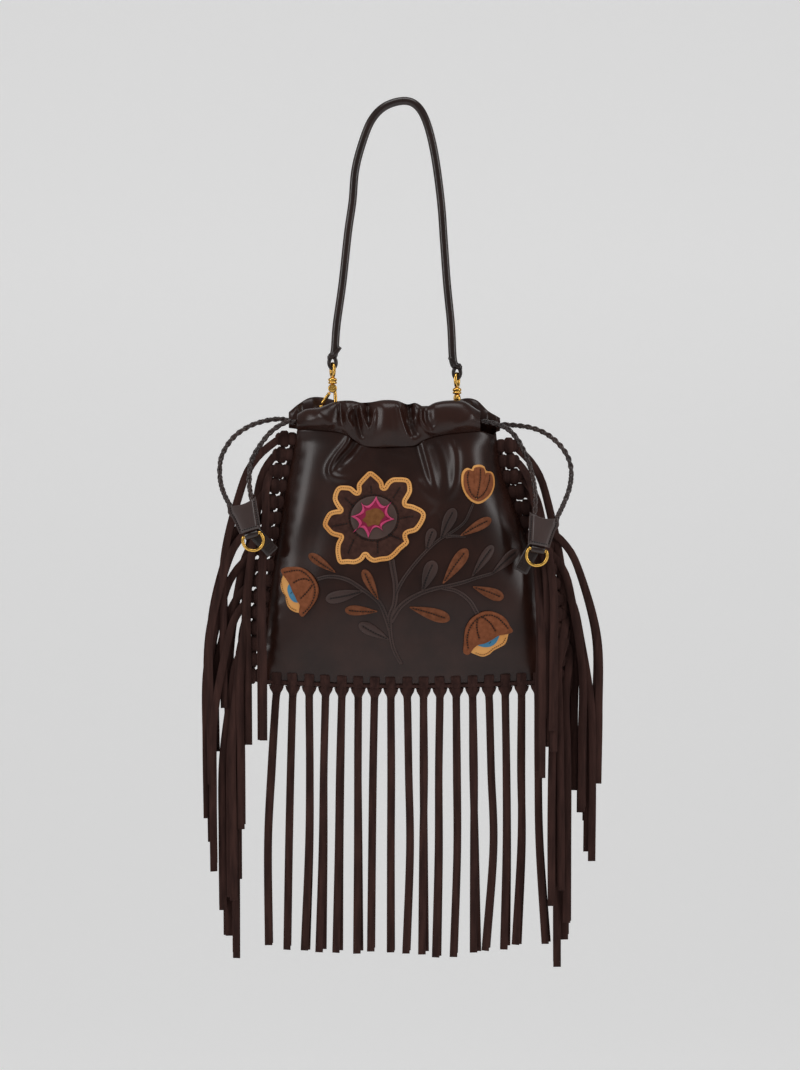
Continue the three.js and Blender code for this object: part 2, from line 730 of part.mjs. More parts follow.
// A cord cap's outline from its lower corner round its mouth. x is a share of half its width
// there, z of its height; the ear is on the side away from the bag.
const capOutline = [
  { x: -1.0, z: 0.0, wide: capLowWide },
  { x: -1.0, z: 0.52, wide: (capTopWide + capLowWide) / 2 },
  { x: -1.0, z: 1.0, wide: capTopWide },
  { x: -0.4, z: 0.93, wide: capTopWide },
  { x: 0.1, z: 0.91, wide: capTopWide },
  { x: 0.6, z: 0.94, wide: capTopWide },
  { x: 0.93, z: 1.0, wide: capTopWide },
  { x: 1.0, z: 0.84, wide: capTopWide },
  { x: 1.13, z: 0.76, wide: capTopWide },
  { x: 1.08, z: 0.66, wide: capTopWide },
  { x: 1.0, z: 0.0, wide: capLowWide },
];

function cordCap(earSide) {
  const layers = [
    { y: -0.5, inset: 1 },
    { y: -0.25, inset: 0 },
    { y: 0.25, inset: 0 },
    { y: 0.5, inset: 1 },
  ];
  const rings = layers.map(({ y, inset }) =>
    capOutline.map((spot) => {
      const half = spot.wide / 2 - inset * capSeam * 1.6;
      return at(earSide * spot.x * half, y * capThick, spot.z * capTall);
    }),
  );
  return skin(rings);
}

// A D: most of a circle, closed by a straight bar at its top
const ringBarZ = 0.55; // height of the bar in the circle, as a share of its radius
function dRing() {
  const radius = (ringWide - ringWire) / 2;
  const open = Math.asin(ringBarZ);
  const points = Array.from({ length: 14 }, (_, k) => {
    const turn = lerp(Math.PI - open, 2 * Math.PI + open, k / 13);
    return at(Math.cos(turn) * radius, 0, (Math.sin(turn) - ringBarZ) * radius);
  });
  return wire(points, ringWire, 6, at(0, 1, 0), true);
}

// A leather loop round the ring's bar, seen end on from the side
function ringLoop() {
  const hole = ringWire + 2 * touchGap;
  const band = wire(
    oval(hole + ringLoopBand, hole + ringLoopBand, 8),
    ringLoopBand,
    4,
    at(0, 1, 0),
    true,
    ringLoopWide,
  );
  return band.rotateZ(Math.PI / 2);
}

// The rolled end of the leather that carries the ring, behind it
function capTab() {
  const rings = [0, 0.08, 0.92, 1].map((along) => {
    const end = along === 0 || along === 1 ? 0.72 : 1;
    return Array.from({ length: 8 }, (_, k) => {
      const turn = (2 * Math.PI * (k + 0.5)) / 8;
      const x = (Math.cos(turn) * capTabWide * end) / 2 / Math.cos(Math.PI / 8);
      const y = (Math.sin(turn) * capTabThick * end) / 2 / Math.cos(Math.PI / 8);
      return at(x, y, -along * capTabLong);
    });
  });
  return skin(rings);
}

const capPlaces = {
  left: { x: -137.2, y: -26, z: -383.4, lean: -17, tabX: 2, tabTurn: 26, earSide: -1 },
  right: { x: 119.7, y: -37, z: -396.5, lean: 11, tabX: -3, tabTurn: -28, earSide: 1 },
};

function cordEnd(side, { x, y, z, lean, tabX, tabTurn, earSide }) {
  const end = new THREE.Group();
  end.position.set(x, y, z);
  end.rotation.y = degToRad(lean);
  bag.add(end);
  add(`cord_cap_${side}`, cordCap(earSide), strapLeather, end);
  const loopSize = ringWire + 2 * touchGap + 2 * ringLoopBand;
  const loop = add(`ring_loop_${side}`, ringLoop(), strapLeather, end);
  loop.position.set(0, 0, -loopSize / 2 - touchGap);
  const ring = add(`d_ring_${side}`, dRing(), goldMetal, end);
  ring.position.copy(loop.position);
  ring.rotation.x = degToRad(6);
  const tab = add(`cap_tab_${side}`, capTab(), strapLeather, end);
  tab.position.set(tabX, (capThick + capTabThick) / 2 + 2 * touchGap, -touchGap);
  tab.rotation.y = degToRad(-tabTurn);
}

cordEnd("left", capPlaces.left);
cordEnd("right", capPlaces.right);

// A knot and the strip that hangs from it, in four-sided sections: wide and deep are half sizes
const knotRings = [
  { up: 0.5, wide: 0.45, deep: 0.5 },
  { up: 0.22, wide: 1.0, deep: 1.0 },
  { up: -0.26, wide: 0.92, deep: 0.96 },
  { up: -0.5, wide: 0.5, deep: 0.4 },
];

function section(point, wide, deep) {
  return [
    point.clone().add(at(-wide / 2, -deep / 2, 0)),
    point.clone().add(at(wide / 2, -deep / 2, 0)),
    point.clone().add(at(wide / 2, deep / 2, 0)),
    point.clone().add(at(-wide / 2, deep / 2, 0)),
  ];
}

function knottedStrip(centre, tail, wide = knotWide) {
  const rings = knotRings.map((row) =>
    section(centre.clone().add(at(0, 0, row.up * knotTall)), row.wide * wide, row.deep * knotDeep),
  );
  return skin([...rings, ...tail.map((point) => section(point, stripWide, stripThick))]);
}

// The strips of the lower fringe from the left. mid and low are shares of knotPitch by which a
// strip hangs aside halfway down and at its end, long is a share of tailLong.
const bottomTails = [
  { mid: -0.52, low: -0.46, long: 0.956 },
  { mid: -0.24, low: -0.34, long: 0.97 },
  { mid: 0, low: -0.23, long: 0.97 },
  { mid: -0.15, low: -0.28, long: 0.974 },
  { mid: -0.17, low: -0.26, long: 0.974 },
  { mid: 0, low: 0, long: 0.976 },
  { mid: -0.15, low: -0.21, long: 0.967 },
  { mid: 0, low: 0, long: 0.97 },
  { mid: 0.17, low: -0.05, long: 0.974 },
  { mid: 0, low: 0, long: 0.978 },
  { mid: -0.07, low: -0.2, long: 0.989 },
  { mid: 0.06, low: -0.15, long: 0.989 },
  { mid: 0.12, low: 0.18, long: 0.974 },
  { mid: 0.28, low: -0.18, long: 0.969 },
  { mid: 0.1, low: 0, long: 0.967 },
  { mid: 0, low: -0.3, long: 0.952 },
  { mid: 0.1, low: 0.5, long: 0.952 },
];

function bottomFringe() {
  const span = lowWide - 2 * knotWide;
  const gaps = Math.round(span / knotPitch);
  const pieces = [];
  const bar = [];
  for (let n = 0; n <= gaps; n += 1) {
    const across = (2 * ((n - gaps / 2) * knotPitch + knotShift)) / lowWide;
    const edge = panelPoint(-1, across, 1).setY(0);
    const high = hemTall / panelTall;
    const columns = [-0.5, 0.5].map((half) => {
      const spot = across + (half * hemWide * 2) / lowWide;
      const faces = [-1, 1].map((side) => [panelPoint(side, spot, 1 - high), panelPoint(side, spot, 1)]);
      const [front, back] = faces;
      const away = (point, side, by) => point.clone().add(at(0, side * by, 0));
      const under = (by) => edge.clone().setX(front[1].x).add(at(0, 0, -by));
      const line = (by) => [
        away(front[0], -1, by),
        away(front[1], -1, by),
        under(by),
        away(back[1], 1, by),
        away(back[0], 1, by),
      ];
      return { near: line(touchGap + 0.2), far: line(touchGap + 0.2 + hemThick) };
    });
    pieces.push(
      sheet(
        columns.map((column) => column.far),
        columns.map((column) => column.near),
      ),
    );
    const centre = edge.clone().add(at(0, 0, -touchGap - knotTall / 2 - 0.4));
    bar.push(edge.clone().add(at(0, 0, -touchGap - 2.6)));
    const { mid, low, long } = bottomTails[n % bottomTails.length];
    const down = (share, shift) => centre.clone().add(at(shift * knotPitch, 0, -share * tailLong));
    pieces.push(knottedStrip(centre, [down(0.1, 0), down(0.6 * long, mid), down(long, low)]));
  }
  const barSize = 3.2;
  const rings = bar.map((point) =>
    [[-1, -1], [-1, 1], [1, 1], [1, -1]].map(([y, z]) =>
      point.clone().add(at(0, (y * barSize) / 2, (z * barSize) / 2)),
    ),
  );
  pieces.push(skin(rings));
  return fuse(pieces);
}

// The strips of each side fringe from the top knot down. out is a share of sideSpread away from
// the knot, front a share of it towards the viewer, long a share of tailLong.
const leftTails = [
  { out: 1.04, front: 0.02, long: 1.0 },
  { out: 0.62, front: -0.08, long: 1.0 },
  { out: 0.3, front: 0.3, long: 1.0 },
  { out: 0.49, front: 0.1, long: 0.96 },
  { out: 1.05, front: -0.1, long: 0.96 },
  { out: 1.04, front: 0.08, long: 0.99 },
  { out: 0.68, front: -0.06, long: 1.03 },
  { out: 1.0, front: 0.0, long: 1.0 },
  { out: 0.39, front: 0.14, long: 0.98 },
  { out: 0.87, front: -0.14, long: 1.01 },
  { out: 0.75, front: 0.1, long: 1.02 },
  { out: 0.38, front: -0.1, long: 1.02 },
  { out: 0.41, front: 0.16, long: 1.01 },
  { out: 0.54, front: 0.02, long: 0.99 },
  { out: 0.46, front: -0.12, long: 1.03 },
  { out: 0.29, front: 0.06, long: 1.05 },
];
const rightTails = [
  { out: 1.14, front: 0.0, long: 1.06 },
  { out: 0.4, front: 0.46, long: 0.95 },
  { out: 0.54, front: 0.5, long: 0.94 },
  { out: 0.53, front: 0.46, long: 0.96 },
  { out: 0.24, front: 0.5, long: 1.0 },
  { out: 1.12, front: 0.06, long: 0.97 },
  { out: 0.64, front: -0.08, long: 0.94 },
  { out: 0.66, front: 0.16, long: 0.96 },
  { out: 0.62, front: -0.12, long: 0.94 },
  { out: 0.65, front: 0.08, long: 1.03 },
  { out: 0.24, front: -0.14, long: 1.05 },
  { out: 0.0, front: 0.3, long: 1.02 },
  { out: -0.12, front: 0.34, long: 1.02 },
  { out: 0.12, front: 0.16, long: 1.03 },
  { out: 0.12, front: -0.06, long: 1.04 },
  { out: -0.06, front: 0.12, long: 1.08 },
];

function sideFringe(side, tails) {
  const [first, last] = [0.035, 0.965];
  const count = Math.round(((last - first) * panelTall) / sidePitch);
  const knotOut = sideKnotWide / 2 + laceShow;
  const pieces = [];
  const lace = [];
  for (let n = 0; n <= count; n += 1) {
    const down = lerp(first, last, n / count);
    const edge = panelPoint(-1, side, down).setY(0);
    lace.push(
      [[-laceSeat, -1], [laceOut, -1], [laceOut, 1], [-laceSeat, 1]].map(([x, y]) =>
        edge.clone().add(at(side * x, (y * laceDeep) / 2, 0)),
      ),
    );
    const centre = edge.clone().add(at(side * knotOut, 0, 0));
    const { out, front, long } = tails[n % tails.length];
    const spread = side * out * sideSpread;
    const lean = -front * sideSpread;
    const drop = long * tailLong;
    const reach = (share, front, down) =>
      centre.clone().add(at(spread * share, lean * front, -drop * down));
    const tail = [reach(0.62, 0.6, 0.15), reach(1.06, 1, 0.46), reach(1, 1, 1)];
    pieces.push(knottedStrip(centre, tail, sideKnotWide));
  }
  pieces.push(skin(lace));
  return fuse(pieces);
}

add("bottom_fringe", bottomFringe(), fringeSuede);
add("side_fringe_left", sideFringe(-1, leftTails), fringeSuede);
add("side_fringe_right", sideFringe(1, rightTails), fringeSuede);

// Flat trim sewn to the front panel. A place on it is [x, z] as seen from the front.
function onFront([x, z], lift) {
  let across = 0;
  let down = 0.5;
  for (let pass = 0; pass < 10; pass += 1) {
    const top = panelPoint(-1, across, 0).z;
    const low = panelPoint(-1, across, 1).z;
    down = clamp((top - z) / (top - low), 0, 1);
    across = clamp((x - centreX(down)) / halfWide(down), -0.98, 0.98);
  }
  const face = panelPoint(-1, across, down).setX(x).setZ(z);
  return face.addScaledVector(panelNormal(-1, across, down), lift);
}

// A ribbon between two lines of places
function ribbon(one, other) {
  const rings = one.map((place, i) => [
    onFront(place, trimGap),
    onFront(other[i], trimGap),
    onFront(other[i], trimGap + trimThick),
    onFront(place, trimGap + trimThick),
  ]);
  return skin(rings);
}

// A flat piece between nested outlines, filled to its centre or left open inside the last one
function plate(outlines, centre = null) {
  const size = outlines[0].length;
  const depth = outlines.length;
  const level = (lift) => outlines.flatMap((line) => line.map((place) => onFront(place, lift)));
  const points = [...level(trimGap + trimThick), ...level(trimGap)];
  const under = size * depth;
  const faces = [];
  const last = size * (depth - 1);
  for (let j = 0; j < size; j += 1) {
    const k = (j + 1) % size;
    for (let here = 0; here < last; here += size) {
      const next = here + size;
      faces.push([here + j, here + k, next + k], [here + j, next + k, next + j]);
      faces.push([under + here + j, under + next + k, under + here + k]);
      faces.push([under + here + j, under + next + j, under + next + k]);
    }
    faces.push([k, j, under + j], [k, under + j, under + k]);
    if (centre) {
      faces.push([last + j, last + k, 2 * under], [under + last + k, under + last + j, 2 * under + 1]);
    } else {
      faces.push([last + j, last + k, under + last + k]);
      faces.push([last + j, under + last + k, under + last + j]);
    }
  }
  if (centre) points.push(onFront(centre, trimGap + trimThick), onFront(centre, trimGap));
  return closedBody(points, faces);
}

// The outline a distance inside a closed outline that runs anticlockwise
function inset(outline, distance) {
  return outline.map(([x, z], i) => {
    const [px, pz] = outline[(i + outline.length - 1) % outline.length];
    const [nx, nz] = outline[(i + 1) % outline.length];
    const before = new THREE.Vector2(x - px, z - pz).normalize();
    const after = new THREE.Vector2(nx - x, nz - z).normalize();
    const normal = new THREE.Vector2(-before.y - after.y, before.x + after.x).normalize();
    const stretch = Math.max(normal.x * -before.y + normal.y * before.x, 0.6);
    return [x + (normal.x * distance) / stretch, z + (normal.y * distance) / stretch];
  });
}

const towards = (outline, [cx, cz], share) =>
  outline.map(([x, z]) => [lerp(cx, x, share), lerp(cz, z, share)]);

const round = (count, [cx, cz], radiusAt) =>
  Array.from({ length: count }, (_, k) => {
    const turn = (2 * Math.PI * k) / count;
    const { wide, tall, start } = radiusAt(k);
    return [cx + wide * Math.cos(turn + start), cz + tall * Math.sin(turn + start)];
  });

// A place in the spray, as shares of its width and height from the foot of the stem
const sprayPlace = (x, z) => [
  sprayOut + x * sprayWide,
  lowLevel - lowSag + sprayUp + z * sprayTall,
];

// The rosette's outline: lobes with two corners each, and the notches between them. turn is in
// degrees, reach a share of rosetteReach, wide half a lobe's width in degrees.
const lobeRows = [
  { turn: 4, reach: 1.0, wide: 9, notch: 22, depth: 0.67 },
  { turn: 54, reach: 0.96, wide: 10, notch: 71, depth: 0.58 },
  { turn: 94, reach: 0.91, wide: 6, notch: 120, depth: 0.57 },
  { turn: 137, reach: 0.92, wide: 8, notch: 169, depth: 0.61 },
  { turn: 187, reach: 0.99, wide: 8, notch: 208, depth: 0.68 },
  { turn: 240, reach: 0.98, wide: 12, notch: 257, depth: 0.67 },
  { turn: 283, reach: 0.9, wide: 16, notch: 308, depth: 0.83 },
  { turn: 323, reach: 0.83, wide: 7, notch: 334, depth: 0.65 },
];

function rosette(centre) {
  const place = (turn, reach) => [
    centre[0] + rosetteReach * reach * Math.cos(degToRad(turn)),
    centre[1] + rosetteReach * reach * Math.sin(degToRad(turn)),
  ];
  const outline = lobeRows.flatMap(({ turn, reach, wide, notch, depth }) => [
    place(turn - wide, reach),
    place(turn + wide, reach),
    place(notch, depth),
  ]);
  const petals = inset(outline, trimBorder + touchGap);
  const disc = (shrink) => petals.map(([x, z]) => {
    const turn = Math.atan2((z - centre[1]) / discTall, (x - centre[0]) / discWide);
    const half = [discWide / 2 - shrink, discTall / 2 - shrink];
    return [centre[0] + half[0] * Math.cos(turn), centre[1] + half[1] * Math.sin(turn)];
  });
  const points = 8;
  const star = (reach, valley) => round(2 * points, centre, (k) => {
    const radius = k % 2 ? valley : reach;
    return { wide: radius, tall: radius, start: degToRad(82) };
  });
  const discEdge = round(2 * points, centre, () => {
    const slack = 2 * touchGap;
    return { wide: discWide / 2 - slack, tall: discTall / 2 - slack, start: degToRad(82) };
  });
  const slack = touchGap + 0.2;
  add("rosette_border", plate([outline, inset(outline, trimBorder)]), tanLeather);
  add("rosette_petals", plate([petals, disc(-touchGap)]), petalLeather);
  add("rosette_disc", plate([discEdge, star(starReach + slack, starReach * 0.62 + slack)]), petalLeather);
  const core = star(starReach * 0.58, starReach * 0.38);
  const coreHole = star(starReach * 0.58 + slack, starReach * 0.38 + slack);
  add("rosette_star", plate([star(starReach, starReach * 0.62), coreHole]), pinkLeather);
  add("rosette_eye", plate([core], centre), leafLeather);
}

// The bud's outline from its foot, anticlockwise, as shares of half its width and height
const tulipOutline = [
  [0.0, -1.0],
  [0.5, -0.84],
  [0.86, -0.4],
  [1.0, 0.12],
  [0.95, 0.66],
  [0.66, 0.86],
  [0.45, 0.66],
  [0.3, 0.94],
  [0.05, 1.02],
  [-0.2, 0.92],
  [-0.34, 0.62],
  [-0.6, 0.88],
  [-0.92, 0.72],
  [-1.0, 0.12],
  [-0.84, -0.42],
  [-0.5, -0.84],
];

function tulip(centre) {
  const outline = tulipOutline.map(([x, z]) => [
    centre[0] + (x * tulipWide) / 2,
    centre[1] + (z * tulipTall) / 2,
  ]);
  const border = trimBorder * 0.55;
  const inner = inset(outline, border + touchGap);
  const heart = [centre[0], centre[1] - tulipTall * 0.1];
  add("tulip_border", plate([outline, inset(outline, border)]), tanLeather);
  add("tulip_petals", plate([inner, towards(inner, heart, 0.5)], heart), leafLeather);
}

// A bell flower as shares of its width: its domed cap, then the light lip and the eye under it,
// each between an upper and a lower line from left to right
const bellCap = [
  [-0.5, 0.02],
  [-0.3, 0.05],
  [-0.1, 0.07],
  [0.12, 0.07],
  [0.32, 0.04],
  [0.5, 0.02],
  [0.51, 0.16],
  [0.43, 0.36],
  [0.27, 0.5],
  [0.05, 0.55],
  [-0.18, 0.51],
  [-0.35, 0.4],
  [-0.45, 0.22],
];
const bellLip = [
  { x: -0.42, top: 0.0, low: -0.03 },
  { x: -0.32, top: 0.02, low: -0.17 },
  { x: -0.2, top: 0.035, low: -0.23 },
  { x: -0.13, top: -0.075, low: -0.22 },
  { x: 0.0, top: -0.11, low: -0.25 },
  { x: 0.13, top: -0.085, low: -0.22 },
  { x: 0.22, top: 0.03, low: -0.24 },
  { x: 0.32, top: 0.01, low: -0.18 },
  { x: 0.42, top: -0.005, low: -0.04 },
];
const bellEye = [
  { x: -0.17, top: 0.035, low: 0.0 },
  { x: -0.1, top: 0.042, low: -0.055 },
  { x: 0.0, top: 0.045, low: -0.085 },
  { x: 0.11, top: 0.042, low: -0.06 },
  { x: 0.185, top: 0.035, low: 0.0 },
];

function bell(side, [cx, cz], turn) {
  const lay = (x, z) => {
    const spot = new THREE.Vector2(x * bellWide, z * bellWide);
    spot.rotateAround(new THREE.Vector2(0, 0), degToRad(turn));
    return [cx + spot.x, cz + spot.y];
  };
  const cap = bellCap.map(([x, z]) => lay(x, z));
  const heart = lay(0, 0.26);
  const lines = (rows) => [rows.map(({ x, top }) => lay(x, top)), rows.map(({ x, low }) => lay(x, low))];
  add(`bell_cap_${side}`, plate([cap, towards(cap, heart, 0.55)], heart), leafLeather);
  add(`bell_lip_${side}`, ribbon(...lines(bellLip)), tanLeather);
  add(`bell_eye_${side}`, ribbon(...lines(bellEye)), blueLeather);
}

// A leaf from its foot to its tip, fullest past the middle; wide is a share of sprayWide
const leafShape = [
  { along: 0.0, half: 0.12 },
  { along: 0.3, half: 0.62 },
  { along: 0.65, half: 1.0 },
  { along: 0.9, half: 0.7 },
  { along: 1.0, half: 0.2 },
];

function leaf({ foot, tip, wide }, back = 0) {
  const [fx, fz] = sprayPlace(...foot);
  const [tx, tz] = sprayPlace(...tip);
  const length = Math.hypot(tx - fx, tz - fz);
  const [ux, uz] = [(tx - fx) / length, (tz - fz) / length];
  const half = (wide * sprayWide) / 2;
  const edge = (sign) => leafShape.map((row) => {
    const run = lerp(back, length, row.along);
    const off = sign * row.half * half;
    return [fx + ux * run - uz * off, fz + uz * run + ux * off];
  });
  return ribbon(edge(1), edge(-1));
}

const lightLeaves = [
  { foot: [-0.276, 0.458], tip: [-0.386, 0.554], wide: 0.042 },
  { foot: [-0.093, 0.325], tip: [-0.159, 0.473], wide: 0.045 },
  { foot: [-0.093, 0.259], tip: [-0.233, 0.269], wide: 0.045 },
  { foot: [0.042, 0.28], tip: [0.212, 0.219], wide: 0.06 },
  { foot: [0.183, 0.402], tip: [0.289, 0.574], wide: 0.06 },
  { foot: [0.259, 0.641], tip: [0.382, 0.727], wide: 0.045 },
  { foot: [0.314, 0.381], tip: [0.441, 0.325], wide: 0.052 },
];
const darkLeaves = [
  { foot: [0.178, 0.62], tip: [0.24, 0.773], wide: 0.056 },
  { foot: [0.1, 0.55], tip: [0.14, 0.671], wide: 0.045 },
  { foot: [0.085, 0.35], tip: [0.153, 0.508], wide: 0.06 },
  { foot: [0.3, 0.425], tip: [0.395, 0.59], wide: 0.047 },
  { foot: [0.38, 0.45], tip: [0.492, 0.569], wide: 0.05 },
  { foot: [-0.15, 0.365], tip: [-0.314, 0.33], wide: 0.056 },
  { foot: [-0.037, 0.1], tip: [-0.174, 0.198], wide: 0.05 },
];

// Stems as lines of places; wide is a share of stemWide at the start and the end
const stems = [
  { line: [[0, 0], [-0.038, 0.132], [-0.03, 0.219], [-0.01, 0.39], [-0.034, 0.49]], from: 0.5, to: 1.1 },
  {
    line: [[-0.036, 0.18], [-0.093, 0.3], [-0.144, 0.366], [-0.212, 0.422], [-0.28, 0.442], [-0.335, 0.425]],
    from: 0.9,
    to: 0.7,
  },
  {
    line: [[-0.016, 0.35], [0.057, 0.478], [0.123, 0.574], [0.225, 0.648], [0.28, 0.727], [0.31, 0.788]],
    from: 1.0,
    to: 0.45,
  },
  {
    line: [[-0.028, 0.19], [0.042, 0.315], [0.123, 0.366], [0.225, 0.389], [0.301, 0.427], [0.395, 0.452]],
    from: 1.0,
    to: 0.5,
  },
  { line: [[0.15, 0.372], [0.195, 0.366], [0.259, 0.341], [0.318, 0.268]], from: 0.7, to: 0.8 },
];

function stem({ line, from, to }) {
  const places = line.flatMap(([x, z], i) => {
    const [nx, nz] = line[i + 1] ?? [x, z];
    return i < line.length - 1
      ? [sprayPlace(x, z), sprayPlace((x + nx) / 2, (z + nz) / 2)]
      : [sprayPlace(x, z)];
  });
  const edge = (sign) => places.map(([x, z], i) => {
    const [px, pz] = places[Math.max(i - 1, 0)];
    const [nx, nz] = places[Math.min(i + 1, places.length - 1)];
    const length = Math.hypot(nx - px, nz - pz);
    const off = (sign * stemWide * lerp(from, to, i / (places.length - 1))) / 2;
    return [x - ((nz - pz) / length) * off, z + ((nx - px) / length) * off];
  });
  return ribbon(edge(1), edge(-1));
}

rosette(sprayPlace(-0.112, 0.729));
tulip(sprayPlace(0.331, 0.9));
bell("left", sprayPlace(-0.462, 0.351), -67.4);
bell("right", sprayPlace(0.38, 0.104), 27);
add("stem_spray", fuse([...stems.map(stem), ...darkLeaves.map((row) => leaf(row))]), stemLeather);
lightLeaves.forEach((row, i) => add(`leaf_${i + 1}`, leaf(row, stemWide * 0.9), leafLeather));

export default bag;
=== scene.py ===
import math
import random

import bpy
import numpy as np
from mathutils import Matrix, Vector
from mathutils.geometry import delaunay_2d_cdt


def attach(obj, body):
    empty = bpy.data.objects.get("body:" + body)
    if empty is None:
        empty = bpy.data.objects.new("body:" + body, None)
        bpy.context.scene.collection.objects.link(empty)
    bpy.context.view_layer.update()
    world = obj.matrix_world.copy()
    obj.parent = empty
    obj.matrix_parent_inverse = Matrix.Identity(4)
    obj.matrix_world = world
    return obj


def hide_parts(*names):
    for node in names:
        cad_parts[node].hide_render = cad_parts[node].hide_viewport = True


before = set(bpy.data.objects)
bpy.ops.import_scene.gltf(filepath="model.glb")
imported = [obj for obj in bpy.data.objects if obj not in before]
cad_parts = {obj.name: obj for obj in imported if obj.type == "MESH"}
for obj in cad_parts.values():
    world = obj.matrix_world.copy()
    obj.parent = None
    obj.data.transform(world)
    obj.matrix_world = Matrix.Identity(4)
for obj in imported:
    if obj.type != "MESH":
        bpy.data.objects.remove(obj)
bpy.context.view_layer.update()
mm = 0.001
front, back = -1, 1
left, right = -1, 1

# Camera at the photograph's angle, level with the bag's middle

camera = {"away": 3.0, "x": -0.0036, "z": -0.387, "seenTall": 0.963, "sensor": 24.0}
cameraData = bpy.data.cameras.new("photoCamera")
cameraData.sensor_fit = "VERTICAL"
cameraData.sensor_height = camera["sensor"]
cameraData.lens = camera["sensor"] * camera["away"] / camera["seenTall"]
cameraData.clip_end = 20
cameraObject = bpy.data.objects.new("photoCamera", cameraData)
cameraObject.location = (camera["x"], -camera["away"], camera["z"])
cameraObject.rotation_euler = (math.radians(90), 0, 0)
bpy.context.scene.collection.objects.link(cameraObject)
bpy.context.scene.camera = cameraObject


# Materials

def srgb(red, green, blue):  # 0 to 255 as on a screen, to Blender's linear colour
    linear = []
    for value in (red, green, blue):
        value /= 255
        linear.append(value / 12.92 if value < 0.04045 else ((value + 0.055) / 1.055) ** 2.4)
    return (*linear, 1)


def newMaterial(name):
    material = bpy.data.materials.new(name)
    material.use_nodes = True
    nodes = material.node_tree.nodes
    return material, nodes, material.node_tree.links, nodes["Principled BSDF"]


def noiseNode(nodes, links, scale, detail, stretch=(1, 1, 1)):
    place = nodes.new("ShaderNodeTexCoord")
    mapping = nodes.new("ShaderNodeMapping")
    mapping.inputs["Scale"].default_value = stretch
    noise = nodes.new("ShaderNodeTexNoise")
    noise.inputs["Scale"].default_value = scale
    noise.inputs["Detail"].default_value = detail
    links.new(place.outputs["Object"], mapping.inputs["Vector"])
    links.new(mapping.outputs["Vector"], noise.inputs["Vector"])
    return noise


def twoTone(nodes, links, noise, dark, light, low=0.35, high=0.65):
    ramp = nodes.new("ShaderNodeValToRGB")
    ramp.color_ramp.elements[0].position = low
    ramp.color_ramp.elements[0].color = dark
    ramp.color_ramp.elements[1].position = high
    ramp.color_ramp.elements[1].color = light
    links.new(noise.outputs["Fac"], ramp.inputs["Fac"])
    return ramp


def addBump(nodes, links, shader, noise, strength, distance):
    bump = nodes.new("ShaderNodeBump")
    bump.inputs["Strength"].default_value = strength
    bump.inputs["Distance"].default_value = distance
    links.new(noise.outputs["Fac"], bump.inputs["Height"])
    links.new(bump.outputs["Normal"], shader.inputs["Normal"])


def smoothLeather(name, dark, light, roughness=0.36, specular=0.5, grain=0.08):
    material, nodes, links, shader = newMaterial(name)
    mottle = noiseNode(nodes, links, 30, 3)
    ramp = twoTone(nodes, links, mottle, dark, light)
    links.new(ramp.outputs["Color"], shader.inputs["Base Color"])
    shader.inputs["Roughness"].default_value = roughness
    shader.inputs["Specular IOR Level"].default_value = specular
    pores = noiseNode(nodes, links, 1400, 2)
    addBump(nodes, links, shader, pores, grain, 0.0004)
    return material


def suede(name, dark, light, nap=(1, 1, 0.12)):
    material, nodes, links, shader = newMaterial(name)
    brushed = noiseNode(nodes, links, 260, 4, nap)
    ramp = twoTone(nodes, links, brushed, dark, light, 0.3, 0.72)
    links.new(ramp.outputs["Color"], shader.inputs["Base Color"])
    shader.inputs["Roughness"].default_value = 0.92
    shader.inputs["Specular IOR Level"].default_value = 0.18
    shader.inputs["Sheen Weight"].default_value = 0.18
    shader.inputs["Sheen Roughness"].default_value = 0.5
    shader.inputs["Sheen Tint"].default_value = light
    fibres = noiseNode(nodes, links, 1800, 2, (1, 1, 0.4))
    addBump(nodes, links, shader, fibres, 0.25, 0.0005)
    return material


def plainMetal(name, color, roughness):
    material, nodes, links, shader = newMaterial(name)
    shader.inputs["Base Color"].default_value = color
    shader.inputs["Metallic"].default_value = 1
    shader.inputs["Roughness"].default_value = roughness
    return material


